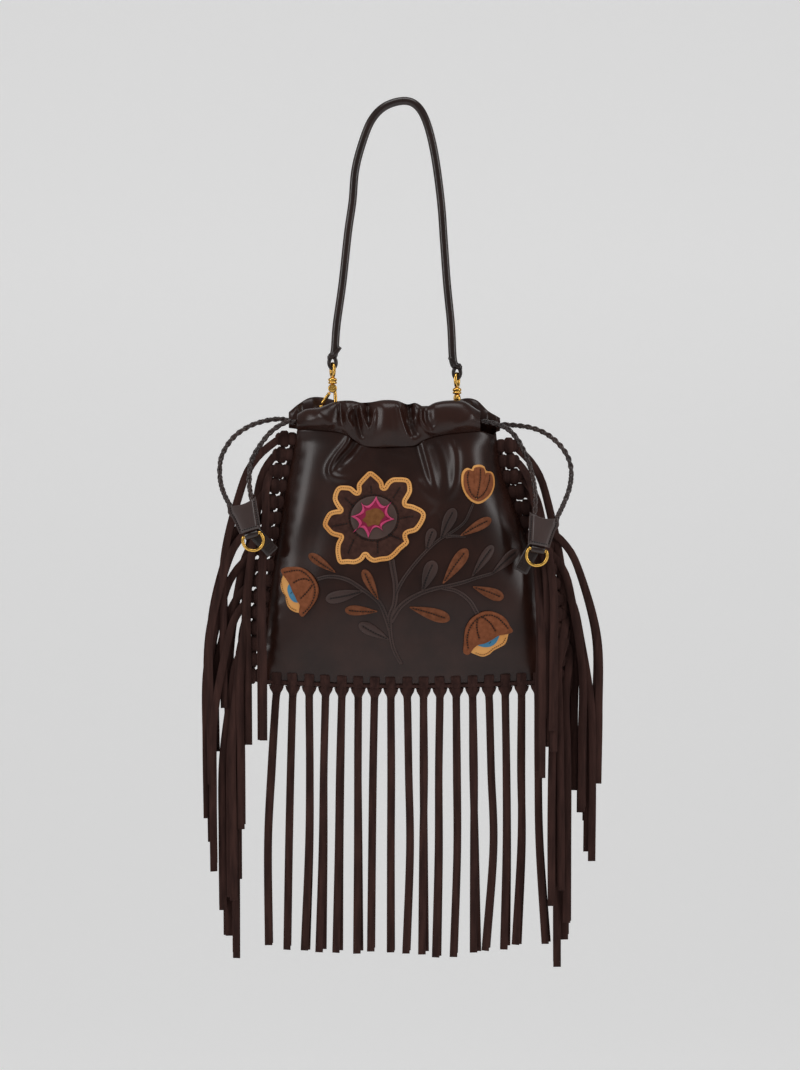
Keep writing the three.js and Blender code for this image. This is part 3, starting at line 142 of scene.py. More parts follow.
leathers = {
    "body": smoothLeather("bodyLeather", srgb(38, 20, 15), srgb(50, 28, 22), 0.27, 0.32),
    "strap": smoothLeather("strapLeather", srgb(30, 18, 15), srgb(42, 27, 23), 0.24, 0.55),
    "cap": smoothLeather("capLeather", srgb(52, 38, 35), srgb(68, 52, 49), 0.28, 0.7),
    "cord": smoothLeather("cordLeather", srgb(34, 20, 17), srgb(54, 34, 28), 0.27, 0.6),
    "fringe": suede("fringeSuede", srgb(44, 27, 24), srgb(68, 44, 39)),
    "tan": smoothLeather("tanLeather", srgb(214, 146, 74), srgb(238, 174, 100), 0.6, 0.35),
    "petal": suede("petalLeather", srgb(56, 34, 29), srgb(74, 48, 41), (1, 1, 1)),
    "leaf": suede("leafLeather", srgb(100, 58, 37), srgb(127, 77, 53), (1, 1, 1)),
    "stem": smoothLeather("stemLeather", srgb(50, 33, 29), srgb(68, 47, 42), 0.5, 0.4),
    "blue": smoothLeather("blueLeather", srgb(54, 116, 152), srgb(74, 138, 172), 0.6, 0.35),
    "pink": smoothLeather("pinkLeather", srgb(186, 44, 96), srgb(212, 70, 122), 0.42, 0.5),
    # painted shade: the pink ribbon's colour darkened, standing in for the shadow inside the raised
    # star
    "shadedPink": smoothLeather("shadedPinkLeather", srgb(120, 14, 52), srgb(148, 26, 70), 0.6, 0.3),
    "disc": smoothLeather("discLeather", srgb(66, 48, 44), srgb(84, 62, 56), 0.5, 0.4),
    "bell": suede("bellLeather", srgb(118, 68, 43), srgb(142, 84, 56), (1, 1, 1)),
    "core": suede("coreLeather", srgb(112, 70, 38), srgb(132, 86, 50), (1, 1, 1)),
    "brownThread": smoothLeather("brownThread", srgb(96, 48, 18), srgb(120, 64, 28), 0.7, 0.3),
    "thread": smoothLeather("darkThread", srgb(12, 7, 6), srgb(24, 15, 13), 0.6, 0.3),
    "gold": plainMetal("goldMetal", srgb(232, 182, 92), 0.2),
}
print("materials made")


# Mesh making. Points are in millimetres in the bag's frame.

def addPiece(name, points, faces, finish, replaces=(), body="bag", smooth=True, second=None):
    mesh = bpy.data.meshes.new(name)
    mesh.from_pydata([tuple(p) for p in np.asarray(points) * mm], [], [list(f) for f in faces])
    mesh.validate()
    mesh.update()
    mesh.materials.append(leathers[finish])
    if second:  # (finish, number of the first face that has it)
        mesh.materials.append(leathers[second[0]])
        which = np.zeros(len(mesh.polygons), dtype=np.int32)
        which[second[1]:] = 1
        mesh.polygons.foreach_set("material_index", which)
    mesh.polygons.foreach_set("use_smooth", [smooth] * len(mesh.polygons))
    piece = bpy.data.objects.new(name, mesh)
    bpy.context.scene.collection.objects.link(piece)
    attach(piece, body)
    if replaces:
        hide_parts(*replaces)
    return piece


class Shape:  # gathers parts of one mesh
    def __init__(self):
        self.points, self.faces, self.count = [], [], 0

    def add(self, points, faces):
        points = np.asarray(points, float).reshape(-1, 3)
        self.points.append(points)
        self.faces += [[i + self.count for i in face] for face in faces]
        self.count += len(points)

    def place(self, name, finish, replaces=(), **more):
        return addPiece(name, np.vstack(self.points), self.faces, finish, replaces, **more)


def bandFaces(rings, size, closed=False, start=0):
    faces = []
    for i in range(rings if closed else rings - 1):
        here, there = start + i * size, start + ((i + 1) % rings) * size
        for j in range(size):
            k = (j + 1) % size
            faces.append((here + j, here + k, there + k, there + j))
    return faces


def loft(rings, closed=False, capped=True):  # rings: array of rings, each the same size
    rings = np.asarray(rings, float)
    count, size = rings.shape[:2]
    faces = bandFaces(count, size, closed)
    if capped and not closed:
        faces.append(tuple(range(size))[::-1])
        faces.append(tuple((count - 1) * size + j for j in range(size)))
    return outwards(rings.reshape(-1, 3), faces)


def outwards(points, faces):  # turns a closed mesh so that its faces look out
    total = 0
    for face in faces:
        a = points[face[0]]
        for j in range(1, len(face) - 1):
            total += np.dot(a, np.cross(points[face[j]], points[face[j + 1]]))
    return points, [tuple(face)[::-1] for face in faces] if total < 0 else faces


def gridFaces(rows, columns, start=0, flip=False):
    faces = []
    for i in range(rows - 1):
        for j in range(columns - 1):
            a = start + i * columns + j
            face = (a, a + 1, a + columns + 1, a + columns)
            faces.append(face[::-1] if flip else face)
    return faces


def sheetFaces(rows, columns):  # two grids one after the other, joined round the rim
    under = rows * columns
    faces = gridFaces(rows, columns) + gridFaces(rows, columns, under, True)
    rim = [j for j in range(columns - 1)]
    rim += [i * columns + columns - 1 for i in range(rows - 1)]
    rim += [(rows - 1) * columns + j for j in range(columns - 1, 0, -1)]
    rim += [i * columns for i in range(rows - 1, 0, -1)]
    for n, p in enumerate(rim):
        q = rim[(n + 1) % len(rim)]
        faces.append((q, p, under + p, under + q))
    return faces


def smoothLine(points, count, closed=False):  # even points on a curve through the given ones
    points = np.asarray(points, float)
    if closed:
        points = np.vstack([points[-1:], points, points[:2]])
    else:
        first = 2 * points[0] - points[1]
        last = 2 * points[-1] - points[-2]
        points = np.vstack([[first], points, [last]])
    fine = []
    steps = 16
    for i in range(1, len(points) - 2):
        p0, p1, p2, p3 = points[i - 1:i + 3]
        for t in np.arange(steps) / steps:
            a = 2 * p1 + (p2 - p0) * t + (2 * p0 - 5 * p1 + 4 * p2 - p3) * t * t
            fine.append((a + (3 * p1 - p0 - 3 * p2 + p3) * t ** 3) / 2)
    fine.append(points[-2])
    fine = np.array(fine)
    run = np.concatenate([[0], np.cumsum(np.linalg.norm(np.diff(fine, axis=0), axis=1))])
    spots = np.linspace(0, run[-1], count + 1)[:-1] if closed else np.linspace(0, run[-1], count)
    return np.column_stack([np.interp(spots, run, fine[:, k]) for k in range(fine.shape[1])])


def unit(vectors):
    vectors = np.asarray(vectors, float)
    return vectors / np.maximum(np.linalg.norm(vectors, axis=-1, keepdims=True), 1e-9)


def tangents(line, closed=False):
    if closed:
        return unit(np.roll(line, -1, axis=0) - np.roll(line, 1, axis=0))
    return unit(np.gradient(line, axis=0))


def sweep(line, section, wide, closed=False):  # section: (across, through) pairs; wide: direction
    line = np.asarray(line, float)
    along = tangents(line, closed)
    wide = np.broadcast_to(np.asarray(wide, float), line.shape)
    wide = unit(wide - along * np.sum(wide * along, axis=1, keepdims=True))
    through = np.cross(along, wide)
    section = np.asarray(section, float)
    if section.ndim == 2:
        section = np.broadcast_to(section, (len(line), *section.shape))
    rings = line[:, None] + section[..., :1] * wide[:, None] + section[..., 1:] * through[:, None]
    return loft(rings, closed)


def ovalSection(wide, thick, count=12, power=1.0):
    turn = np.arange(count) * 2 * math.pi / count
    c, s = np.cos(turn), np.sin(turn)
    across = np.sign(c) * np.abs(c) ** power * wide / 2
    through = np.sign(s) * np.abs(s) ** power * thick / 2
    return np.column_stack([across, through])


def flatSection(wide, thick):  # a flat strip with eased corners
    w, t, e = wide / 2, thick / 2, thick * 0.3
    return [(-w, -t + e), (-w + e, -t), (w - e, -t), (w, -t + e),
            (w, t - e), (w - e, t), (-w + e, t), (-w, t - e)]


def read(rows, key, column, place):  # one column of a table, on a smooth curve
    xs, ys = np.array(rows[key], float), np.array(rows[column], float)
    place = np.asarray(place, float)
    slopes = np.empty_like(ys)
    slopes[1:-1] = (ys[2:] - ys[:-2]) / (xs[2:] - xs[:-2])
    slopes[0] = (ys[1] - ys[0]) / (xs[1] - xs[0])
    slopes[-1] = (ys[-1] - ys[-2]) / (xs[-1] - xs[-2])
    i = np.clip(np.searchsorted(xs, place) - 1, 0, len(xs) - 2)
    span = xs[i + 1] - xs[i]
    t = np.clip((place - xs[i]) / span, 0, 1)
    ends = ys[i] * (2 * t ** 3 - 3 * t ** 2 + 1) + ys[i + 1] * (3 * t ** 2 - 2 * t ** 3)
    leads = slopes[i] * (t ** 3 - 2 * t ** 2 + t) + slopes[i + 1] * (t ** 3 - t ** 2)
    return ends + leads * span


def ease(value, low, high):
    t = np.clip((np.asarray(value, float) - low) / (high - low), 0, 1)
    return t * t * (3 - 2 * t)


# Drawcords: four leather strands braided round, through the casings and free on both sides

cords = {
    "wide": 5.1, "strandWide": 2.5, "strandThick": 1.5, "weave": 0.36, "pitch": 15, "step": 0.7,
    "core": 2.6,
    "routes": {
        "cord_left_front": [
            (-97.0, -7.1, -285.4), (-104.3, -8.6, -285.4), (-113.1, -10.6, -289.7),
            (-121.0, -12.7, -296.3), (-126.6, -14.7, -303.4), (-132.6, -17.8, -312.6),
            (-136.1, -20.3, -320.2), (-137.9, -22.9, -331.5), (-138.1, -24.9, -341.9),
            (-137.0, -25.9, -349.4), (-136.3, -26.0, -353.6), (-135.8, -26.0, -358.0),
        ],
        "cord_left_back": [
            (-104.9, 7.1, -283.5), (-111.6, 5.5, -282.5), (-120.6, 2.4, -283.3),
            (-130.6, -1.6, -285.9), (-139.7, -5.7, -289.7), (-149.7, -10.7, -296.5),
            (-157.4, -14.8, -305.3), (-163.2, -18.8, -317.0), (-164.7, -21.9, -328.8),
            (-163.5, -24.4, -341.2), (-160.0, -26.0, -351.6), (-156.4, -26.0, -358.6),
            (-154.4, -26.0, -362.4),
        ],
        "cord_right_front": [
            (69.0, -19.2, -285.4), (75.8, -20.1, -286.2), (83.9, -20.7, -288.3),
            (93.7, -22.2, -293.1), (101.3, -24.8, -301.8), (106.9, -27.8, -312.4),
            (111.3, -30.8, -323.2), (114.5, -33.9, -335.9), (116.4, -35.9, -347.9),
            (116.6, -37.0, -358.0), (116.0, -37.0, -367.0), (115.8, -37.0, -371.6),
        ],
        "cord_right_back": [
            (87.6, 7.1, -287.3), (94.5, 5.6, -287.7), (103.5, 1.6, -288.6),
            (113.6, -3.5, -290.4), (123.6, -9.1, -294.1), (133.3, -14.6, -300.5),
            (141.7, -20.7, -309.6), (147.4, -25.7, -320.4), (149.0, -30.8, -333.1),
            (146.7, -34.4, -346.9), (141.5, -36.9, -360.2), (136.6, -37.0, -370.4),
            (134.8, -37.0, -374.2),
        ],
    },
}


def braid(line, wide, turned=0.0):
    run = np.concatenate([[0], np.cumsum(np.linalg.norm(np.diff(line, axis=0), axis=1))])
    along = tangents(line)
    side = unit(np.cross(along, [0.0, 0.35, 0.94]))
    through = np.cross(along, side)
    middle = (wide - cords["strandThick"]) / 2 - cords["weave"]
    shape = Shape()
    section = ovalSection(cords["strandWide"], cords["strandThick"], 8)
    phase = 2 * math.pi * run / cords["pitch"]
    for strand in range(4):
        way = 1 if strand < 2 else -1
        turn = way * phase + math.pi * (strand % 2) + turned
        radius = middle + way * cords["weave"] * np.cos(2 * phase)
        away = np.cos(turn)[:, None] * side + np.sin(turn)[:, None] * through
        path = line + radius[:, None] * away
        shape.add(*sweep(path, section, np.cross(along, away)))
    shape.add(*sweep(line[::3], ovalSection(cords["core"], cords["core"], 8), side[::3]))
    return shape


def makeCords():
    for name, route in cords["routes"].items():
        line = smoothLine(route, 160)
        length = np.sum(np.linalg.norm(np.diff(line, axis=0), axis=1))
        line = smoothLine(route, int(length / cords["step"]))
        strand = braid(line, cords["wide"]).place(name + "_braid", "cord", [name])
        cordEnds[name] = (strand, line, length)


cordEnds = {}
makeCords()
print("cords braided")


# The pouch. Shares as in the part: down of the panel's height, across of half its width.

pouch = {
    "strapDrop": 267, "casingTall": 32, "panelTall": 222, "lowSag": 4, "topWide": 179,
    "lowWide": 258, "mouthDeep": 52, "bellyDeep": 72, "endDeep": 15, "edgeDeep": 5.6,
    "wall": 1.8, "leftTurn": 2.3, "pinch": 0.78, "across": 230, "down": 175,
}
bodyRows = {
    "down": [0.0, 0.13, 0.27, 0.5, 0.66, 0.82, 0.92, 1.0],
    "spread": [0.0, 0.12, 0.35, 0.7, 0.87, 0.96, 0.99, 1.0],
    "lean": [-0.025, -0.028, -0.018, 0.004, 0.01, 0.011, 0.008, 0.005],
    "mouth": [1.0, 0.62, 0.28, 0.0, 0.0, 0.0, 0.0, 0.0],
    "belly": [0.0, 0.42, 0.75, 1.0, 0.94, 0.66, 0.34, 0.0],
    "turn": [5.0, 4.6, 4.0, 3.0, 2.6, 2.4, 2.4, 2.4],
}
frontRows = {
    "across": [-1.0, -0.91, -0.777, -0.654, -0.564, -0.497, -0.43, -0.352, -0.263, -0.128,
               0.006, 0.106, 0.184, 0.285, 0.385, 0.52, 0.676, 0.832, 0.922, 1.0],
    "seam": [0.2, 0.19, 0.17, 0.14, 0.1, 0.03, -0.1, -0.25, -0.3, -0.31,
             -0.3, -0.29, -0.26, -0.1, 0.0, 0.06, 0.11, 0.14, 0.07, 0.0],
    "top": [-0.36, -0.24, -0.2, -0.08, -0.03, -0.02, -0.04, -0.09, -0.08, -0.02,
            -0.04, -0.14, -0.1, -0.2, -0.08, -0.02, -0.05, -0.3, -0.3, -0.3],
    "puff": [0.62, 0.92, 1.0, 0.95, 0.56, 0.78, 0.54, 0.8, 0.56, 1.0,
             0.85, 0.55, 0.68, 0.56, 0.85, 1.0, 0.98, 0.72, 0.6, 0.6],
}
backRows = {
    "across": [-1.089, -1.0, -0.888, -0.754, -0.486, -0.151, 0.184, 0.464, 0.687, 0.81,
               0.922, 1.0, 1.04],
    "seam": [0.26, 0.22, 0.1, 0.0, -0.02, -0.02, -0.02, 0.0, 0.02, 0.04, 0.08, 0.14, 0.18],
    "top": [-0.3, -0.1, 0.09, 0.11, -0.06, -0.1, -0.12, -0.08, 0.09, 0.03, -0.26, -0.4, -0.46],
    "puff": [0.5, 0.6, 0.9, 0.95, 0.6, 0.9, 0.6, 0.9, 0.85, 0.9, 0.7, 0.68, 0.62],
}
seamLevel = -(pouch["strapDrop"] + pouch["casingTall"])
lowLevel = seamLevel - pouch["panelTall"]

# Folds as lines of (x, z) on the front. tall is how far one stands out, or in if below 0,
# and right how wide its right-hand side is, as a share of wide.
panelFolds = [
    {"tall": 2.6, "wide": 2.6, "line": [(-47, -292), (-51, -304), (-60, -316), (-66, -326),
                                        (-65.5, -333), (-57, -336.5), (-38, -336)]},
    {"tall": -3.4, "wide": 3.4, "line": [(-40, -297), (-47, -309), (-56, -319), (-60, -327),
                                         (-55, -331.5)]},
    {"tall": 1.8, "wide": 3.0, "line": [(-33, -302), (-43, -316), (-52, -325)]},
    {"tall": -1.4, "wide": 5.0, "line": [(-30, -303), (-20, -320), (-4, -334)]},
    {"tall": -1.0, "wide": 4.0, "line": [(-24, -305), (-6, -312), (14, -318)]},
    {"tall": -2.2, "wide": 4.0, "line": [(9, -299), (13, -316), (19, -338), (24, -350)]},
    {"tall": 2.4, "wide": 3.2, "line": [(14, -298), (19, -314), (24, -332), (29, -350),
                                        (33, -362)]},
    {"tall": -2.6, "wide": 4.4, "line": [(25, -299), (32, -314), (36, -332), (37, -352)]},
    {"tall": 2.6, "wide": 3.6, "line": [(40, -298), (46, -312), (47, -328), (44, -346),
                                        (33, -362)]},
    {"tall": 1.6, "wide": 3.4, "line": [(10, -337), (21, -349), (32, -362)]},
    {"tall": -1.2, "wide": 5.0, "line": [(34, -372), (30, -372), (22, -366)]},
    {"tall": 2.0, "wide": 11.0, "line": [(52, -298), (60, -330), (72, -378)]},
    {"tall": 1.2, "wide": 12.0, "line": [(-82, -298), (-90, -345), (-100, -410)]},
    {"tall": -1.0, "wide": 10.0, "line": [(-70, -345), (-84, -400), (-92, -460)]},
]
casingFolds = [
    {"tall": 2.2, "wide": 4.0, "line": [(-79, -275), (-71, -283), (-63, -292)]},
    {"tall": 1.8, "wide": 2.4, "line": [(-60, -289), (-54, -294), (-48, -299)]},
    {"tall": -1.5, "wide": 1.8, "line": [(-58, -268), (-57.5, -276), (-56, -284)]},
    {"tall": 3.0, "wide": 2.2, "right": 0.6, "line": [(-43.6, -272), (-49.4, -277), (-50.9, -283),
                                                      (-47.4, -289), (-43.4, -295)]},
    {"tall": -3.6, "wide": 2.0, "line": [(-42, -276), (-41, -284), (-39.4, -293), (-36.9, -303)]},
    {"tall": 3.4, "wide": 1.7, "line": [(-39.6, -270), (-37.6, -279), (-34.6, -288),
                                        (-31.3, -293.6), (-28.2, -288), (-26.2, -272)]},
    {"tall": -3.2, "wide": 2.6, "line": [(-33, -267), (-32.5, -276), (-31.4, -285)]},
    {"tall": 1.2, "wide": 5.0, "line": [(-15, -268), (-13, -284), (-12, -301)]},
    {"tall": 3.2, "wide": 3.0, "right": 0.5, "line": [(-6, -266), (-4, -276), (-1.4, -286),
                                                      (2.6, -297), (8, -304)]},
    {"tall": -4.4, "wide": 3.6, "line": [(4, -266), (5.6, -278), (8, -290), (12, -303)]},
    {"tall": 1.6, "wide": 1.3, "line": [(1.5, -285), (6, -285.4), (11, -284.6)]},
    {"tall": 3.4, "wide": 1.7, "line": [(17, -270), (15.1, -277), (15.3, -285), (19, -292),
                                        (25, -296.6), (32, -299)]},
    {"tall": -1.4, "wide": 3.0, "line": [(20, -276), (22, -285), (28, -292)]},
    {"tall": 2.0, "wide": 5.0, "line": [(46, -295), (55, -286), (65, -277)]},
]


def foldHeight(x, z, folds, fadeFrom=0.6):
    total = np.zeros(np.shape(x))
    for fold in folds:
        line = smoothLine(fold["line"], 28)
        run = np.linspace(0, 1, len(line))
        nearest = np.full(np.shape(x), 1e9)
        share = np.zeros(np.shape(x))
        reach = np.full(np.shape(x), fold["wide"])
        for i in range(len(line) - 1):
            ax, az = line[i]
            bx, bz = line[i + 1]
            length = (bx - ax) ** 2 + (bz - az) ** 2
            t = np.clip(((x - ax) * (bx - ax) + (z - az) * (bz - az)) / length, 0, 1)
            off = np.hypot(x - ax - t * (bx - ax), z - az - t * (bz - az))
            closer = off < nearest
            rightHand = (bx - ax) * (z - az) > (bz - az) * (x - ax)
            sideWide = np.where(rightHand, fold.get("right", 1.0), 1.0) * fold["wide"]
            reach = np.where(closer, sideWide, reach)
            nearest = np.where(closer, off, nearest)
            share = np.where(closer, run[i] + t * (run[i + 1] - run[i]), share)
        fade = (0.35 + 0.65 * ease(share, 0, 0.2)) * (1 - ease(share, fadeFrom, 1.0))
        crest = 0.3 * reach
        off = (np.sqrt(nearest ** 2 + crest ** 2) - crest) / reach
        total += fold["tall"] * fade * np.exp(-off ** 1.6)
    return total


def softWaves(x, z, seed=0.0):  # slow unevenness of hanging leather
    wave = 0.5 * np.sin(x / 23 + z / 41 + seed) * np.sin(z / 33 - x / 57 + 1.3 * seed)
    wave += 0.25 * np.sin(x / 11.3 - z / 19 + 2 * seed) * np.sin(z / 14 + 0.7 + seed)
    return wave


def halfWide(down):
    spread = read(bodyRows, "down", "spread", down)
    return (pouch["topWide"] + (pouch["lowWide"] - pouch["topWide"]) * spread) / 2


def centreX(down):
    return pouch["lowWide"] * read(bodyRows, "down", "lean", down)


def panelBase(side, across, down):
    rows = frontRows if side < 0 else backRows
    within = np.clip(across, -1, 1)
    closing = 1 - ease(down, 0, 0.06)
    edge = (pouch["edgeDeep"] + (pouch["endDeep"] - pouch["edgeDeep"]) * closing) / 2
    mouth = read(bodyRows, "down", "mouth", down) * (pouch["mouthDeep"] / 2 - edge)
    belly = read(bodyRows, "down", "belly", down) * (pouch["bellyDeep"] / 2 - edge)
    power = np.where(within < 0, pouch["leftTurn"], read(bodyRows, "down", "turn", down))
    full = np.maximum(1 - np.abs(within) ** power, 0) ** pouch["pinch"]
    top = seamLevel + pouch["casingTall"] * read(rows, "across", "seam", across)
    low = lowLevel - pouch["lowSag"] * (1 - within ** 2)
    x = centreX(down) + halfWide(down) * across
    return x, edge + (mouth + belly) * full, top + (low - top) * down


def panelRelief(side, x, z, across, down):
    inner = ease(1 - np.abs(across), 0, 0.1) * ease(down, 0, 0.02) * ease(1 - down, 0, 0.06)
    relief = softWaves(x, z, 0.0 if side < 0 else 2.1) * inner * 0.8
    if side < 0:
        relief += foldHeight(x, z, panelFolds) * ease(1 - np.abs(across), 0, 0.08)
    else:
        gather = np.sin(across * 31) + 0.6 * np.sin(across * 53 + 1)
        relief += 0.9 * gather * (1 - ease(down, 0.02, 0.25)) * inner
    lowPucker = np.cos(2 * math.pi * (x - knots["firstX"]) / knots["pitch"])
    relief -= 0.35 * lowPucker * (1 - ease(1 - down, 0.02, 0.1)) * ease(1 - np.abs(across), 0, 0.1)
    sidePucker = np.cos(2 * math.pi * (down - 0.035) * pouch["panelTall"] / knots["sidePitch"])
    relief -= 0.3 * sidePucker * (1 - ease(1 - np.abs(across), 0.02, 0.14))
    return relief


knots = {"firstX": -114.7, "pitch": 14.7, "sidePitch": 13.76}


def panelGrid(side, across, down, inset=0.0):
    x, deep, z = panelBase(side, across, down)
    deep = deep + panelRelief(side, x, z, across, down)
    points = np.stack([x, side * deep, z], axis=-1)
    if inset:
        du = np.gradient(points, axis=1)
        dv = np.gradient(points, axis=0)
        normal = unit(np.cross(du, dv))
        normal *= np.where(normal[..., 1:2] * side < 0, -1, 1)
        normal[0] = (0, side, 0)
        points = points - normal * inset
    return points


def makePanel(name, side, replaces):
    turn = np.linspace(-math.pi / 2, math.pi / 2, pouch["across"])
    across = np.sin(turn) * 0.55 + 0.45 * turn / (math.pi / 2)
    down = np.linspace(0, 1, pouch["down"])
    down = down - 0.04 * np.sin(2 * math.pi * down) / math.pi
    acrossGrid, downGrid = np.meshgrid(across, down)
    outer = panelGrid(side, acrossGrid, downGrid)
    inner = panelGrid(side, acrossGrid, downGrid, pouch["wall"])
    outer[0, :, 2] += 0.5
    inner[0, :, 2] += 0.5
    points = np.vstack([outer.reshape(-1, 3), inner.reshape(-1, 3)])
    faces = sheetFaces(*acrossGrid.shape)
    points, faces = outwards(points, faces)
    return addPiece(name, points, faces, "body", replaces)


casing = {"puff": 10, "wall": 1.5, "stations": 400, "ring": 60}
casingRing = [(0.24, 0.0), (0.92, 0.26), (1.0, 0.62), (0.55, 0.95), (-0.45, 1.0), (-0.92, 0.52),
              (-0.24, 0.0)]


def ringShape(count):
    outline = smoothLine(casingRing, count, closed=True)
    outline[:, 1] = np.clip(outline[:, 1], 0, 1.03)
    return outline


def makeCasing(name, side, rows, replaces, folds):
    ends = (rows["across"][0], 0.832 if side < 0 else rows["across"][-1])
    across = np.linspace(*ends, casing["stations"])
    x, deep, foot = panelBase(side, across, np.zeros_like(across))
    low = foot + 0.2
    top = -pouch["strapDrop"] + pouch["casingTall"] * read(rows, "across", "top", across)
    puff = casing["puff"] * read(rows, "across", "puff", across)
    middle = side * (deep - pouch["wall"] / 2)
    outline = ringShape(casing["ring"])
    shells = []
    for wall in (0.0, casing["wall"]):
        out = outline[None, :, 0] * (puff - wall)[:, None]
        up = (outline[None, :, 1] - 0.5) * (top - low - 2 * wall)[:, None]
        z = ((low + top) / 2)[:, None] + up
        xs = np.broadcast_to(x[:, None], z.shape)
        facing = ease(outline[None, :, 0], -0.9, 0.6)
        body = ease(outline[None, :, 1], 0, 0.25)
        endFade = ease(xs - x[0], 0, 10) * ease(x[-1] - xs, 0, 10)
        if side < 0:
            relief = foldHeight(xs, z, folds, 0.8) * facing * body
        else:
            pleats = np.sin(xs / 4.1) + 0.7 * np.sin(xs / 2.6 + 1.7) + 0.8 * np.sin(xs / 9 + 0.4)
            relief = 0.75 * pleats * body * endFade
        inside = 0.45 * np.sin(xs / 3.3 + side) + 0.35 * np.sin(xs / 1.9 + 2 * side)
        relief = relief + inside * body * (1 - facing) * endFade
        relief = relief + 0.5 * softWaves(xs * 2.2, z * 2.2, 3.0 + side) * body * endFade
        push = np.maximum(out + relief * np.where(outline[None, :, 0] >= 0, 1, -1), -puff[:, None])
        y = middle[:, None] + side * push
        shells.append(np.stack([xs, y, z], axis=-1))
    size = casing["ring"]
    outer, inner = shells
    count = casing["stations"] * size
    faces = bandFaces(casing["stations"], size)
    faces += [face[::-1] for face in bandFaces(casing["stations"], size, start=count)]
    last = count - size
    for j in range(size):
        k = (j + 1) % size
        faces.append((k, j, count + j, count + k))
        faces.append((last + j, last + k, count + last + k, count + last + j))
    points = np.vstack([outer.reshape(-1, 3), inner.reshape(-1, 3)])
    points, faces = outwards(points, faces)
    return addPiece(name, points, faces, "body", replaces)


makePanel("front_leather", front, ["front_panel"])
makePanel("back_leather", back, ["back_panel"])
makeCasing("front_channel", front, frontRows, ["front_casing"], casingFolds)
makeCasing("back_channel", back, backRows, ["back_casing"], [])
print("pouch made")


# The strap: rolled leather with a stitched edge along it

strap = {
    "wide": 6.0, "thick": 7.4, "leftDrop": 231.3, "rightDrop": 240.3, "leftOut": 64.3,
    "rightOut": 47.7, "loopReach": 11, "inKnot": 7, "steps": 260,
    "left": [(0.022, 0.266), (0.081, 0.462), (0.185, 0.602), (0.285, 0.686), (0.405, 0.722),
             (0.53, 0.784), (0.734, 0.862), (0.898, 0.942), (1.0, 0.97)],
    "right": [(0.02, 0.25), (0.085, 0.43), (0.2086, 0.579), (0.39, 0.698), (0.547, 0.755),
              (0.705, 0.811), (0.864, 0.887), (1.0, 0.925)],
}


def strapLine():
    def leg(rows, out, drop):
        foot = drop - strap["loopReach"] + strap["thick"] / 2
        points = [(out * o, 0, strap["thick"] / 2 - foot * down) for down, o in rows]
        return points + [(out, 0, points[-1][2] - strap["inKnot"])]
    left = leg(strap["left"], -strap["leftOut"], strap["leftDrop"])
    right = leg(strap["right"], strap["rightOut"], strap["rightDrop"])
    return smoothLine(left[::-1] + [(0, 0, strap["thick"] / 2)] + right, strap["steps"])


def makeStrap():
    shape = Shape()
    turn = np.arange(28) * 2 * math.pi / 28
    radius = np.ones_like(turn)
    seam = math.pi * 0.5  # its groove runs along the outer edge, between two low welts
    off = np.abs((turn - seam + math.pi) % (2 * math.pi) - math.pi)
    radius -= 0.1 * np.exp(-(off / 0.16) ** 2)
    radius += 0.035 * np.exp(-((off - 0.34) / 0.12) ** 2)
    section = np.column_stack([np.cos(turn) * radius * strap["wide"] / 2,
                               np.sin(turn) * radius * strap["thick"] / 2])
    line = strapLine()
    shape.add(*sweep(line, section, (0, 1, 0)))
    return shape.place("rolled_strap", "strap", ["strap"])


makeStrap()

# Strap ends, snap hooks and what they hold. Places are in a hook's own frame, 0 at its top.

hook = {
    "eyeTall": 15, "eyeDeep": 12, "eyeWire": 2.9, "collarWide": 8, "collarTall": 5.4,
    "wire": 3.2, "bossWide": 6.6, "bossThick": 4.2, "bossRim": 0.7, "gateWire": 2.8,
    "rightTurn": -65, "ringWide": 15, "ringWire": 2.2, "loopWide": 9.6, "loopTall": 13.5,
    "loopBand": 3.4, "loopDeep": 6, "loopSlack": 1.1, "gap": 0.3,
}
collarZ = -hook["eyeTall"] + 0.6
bossZ = collarZ - hook["collarTall"] - hook["bossWide"] / 2 - 0.6
hookLine = [(1.2, 0, bossZ + 1), (2.4, 0, bossZ - 6), (2.4, 0, bossZ - 15),
            (0.6, 0, bossZ - 19.6), (-3.4, 0, bossZ - 21.8), (-7.6, 0, bossZ - 20.8),
            (-10.2, 0, bossZ - 17.6), (-10.4, 0, bossZ - 15.4)]
clasps = {
    "left": {"x": -strap["leftOut"], "z": -strap["leftDrop"], "turn": 0, "eyeTurn": 20,
             "tailSide": 1},
    "right": {"x": strap["rightOut"], "z": -strap["rightDrop"], "turn": hook["rightTurn"],
              "eyeTurn": -20, "tailSide": -1},
}


def turned(points, degrees):
    c, s = math.cos(math.radians(degrees)), math.sin(math.radians(degrees))
    points = np.asarray(points, float)
    x, y = points[:, 0], points[:, 1]
    return np.column_stack([x * c - y * s, x * s + y * c, points[:, 2]])


def ovalRing(wide, tall, middle, count=40, plane="yz"):
    turn = np.arange(count) * 2 * math.pi / count
    a, b = np.cos(turn) * wide / 2, np.sin(turn) * tall / 2
    if plane == "yz":
        return np.column_stack([np.zeros(count), a, b]) + middle
    return np.column_stack([a, np.zeros(count), b]) + middle


def roundBar(profile, axis="z", count=32):  # profile: (along, radius) pairs, capped
    turn = np.arange(count) * 2 * math.pi / count
    rings = []
    for along, radius in profile:
        c, s = np.cos(turn) * radius, np.sin(turn) * radius
        fill = np.full(count, along)
        rings.append(np.column_stack([c, s, fill] if axis == "z" else [c, fill, s]))
    return loft(rings)


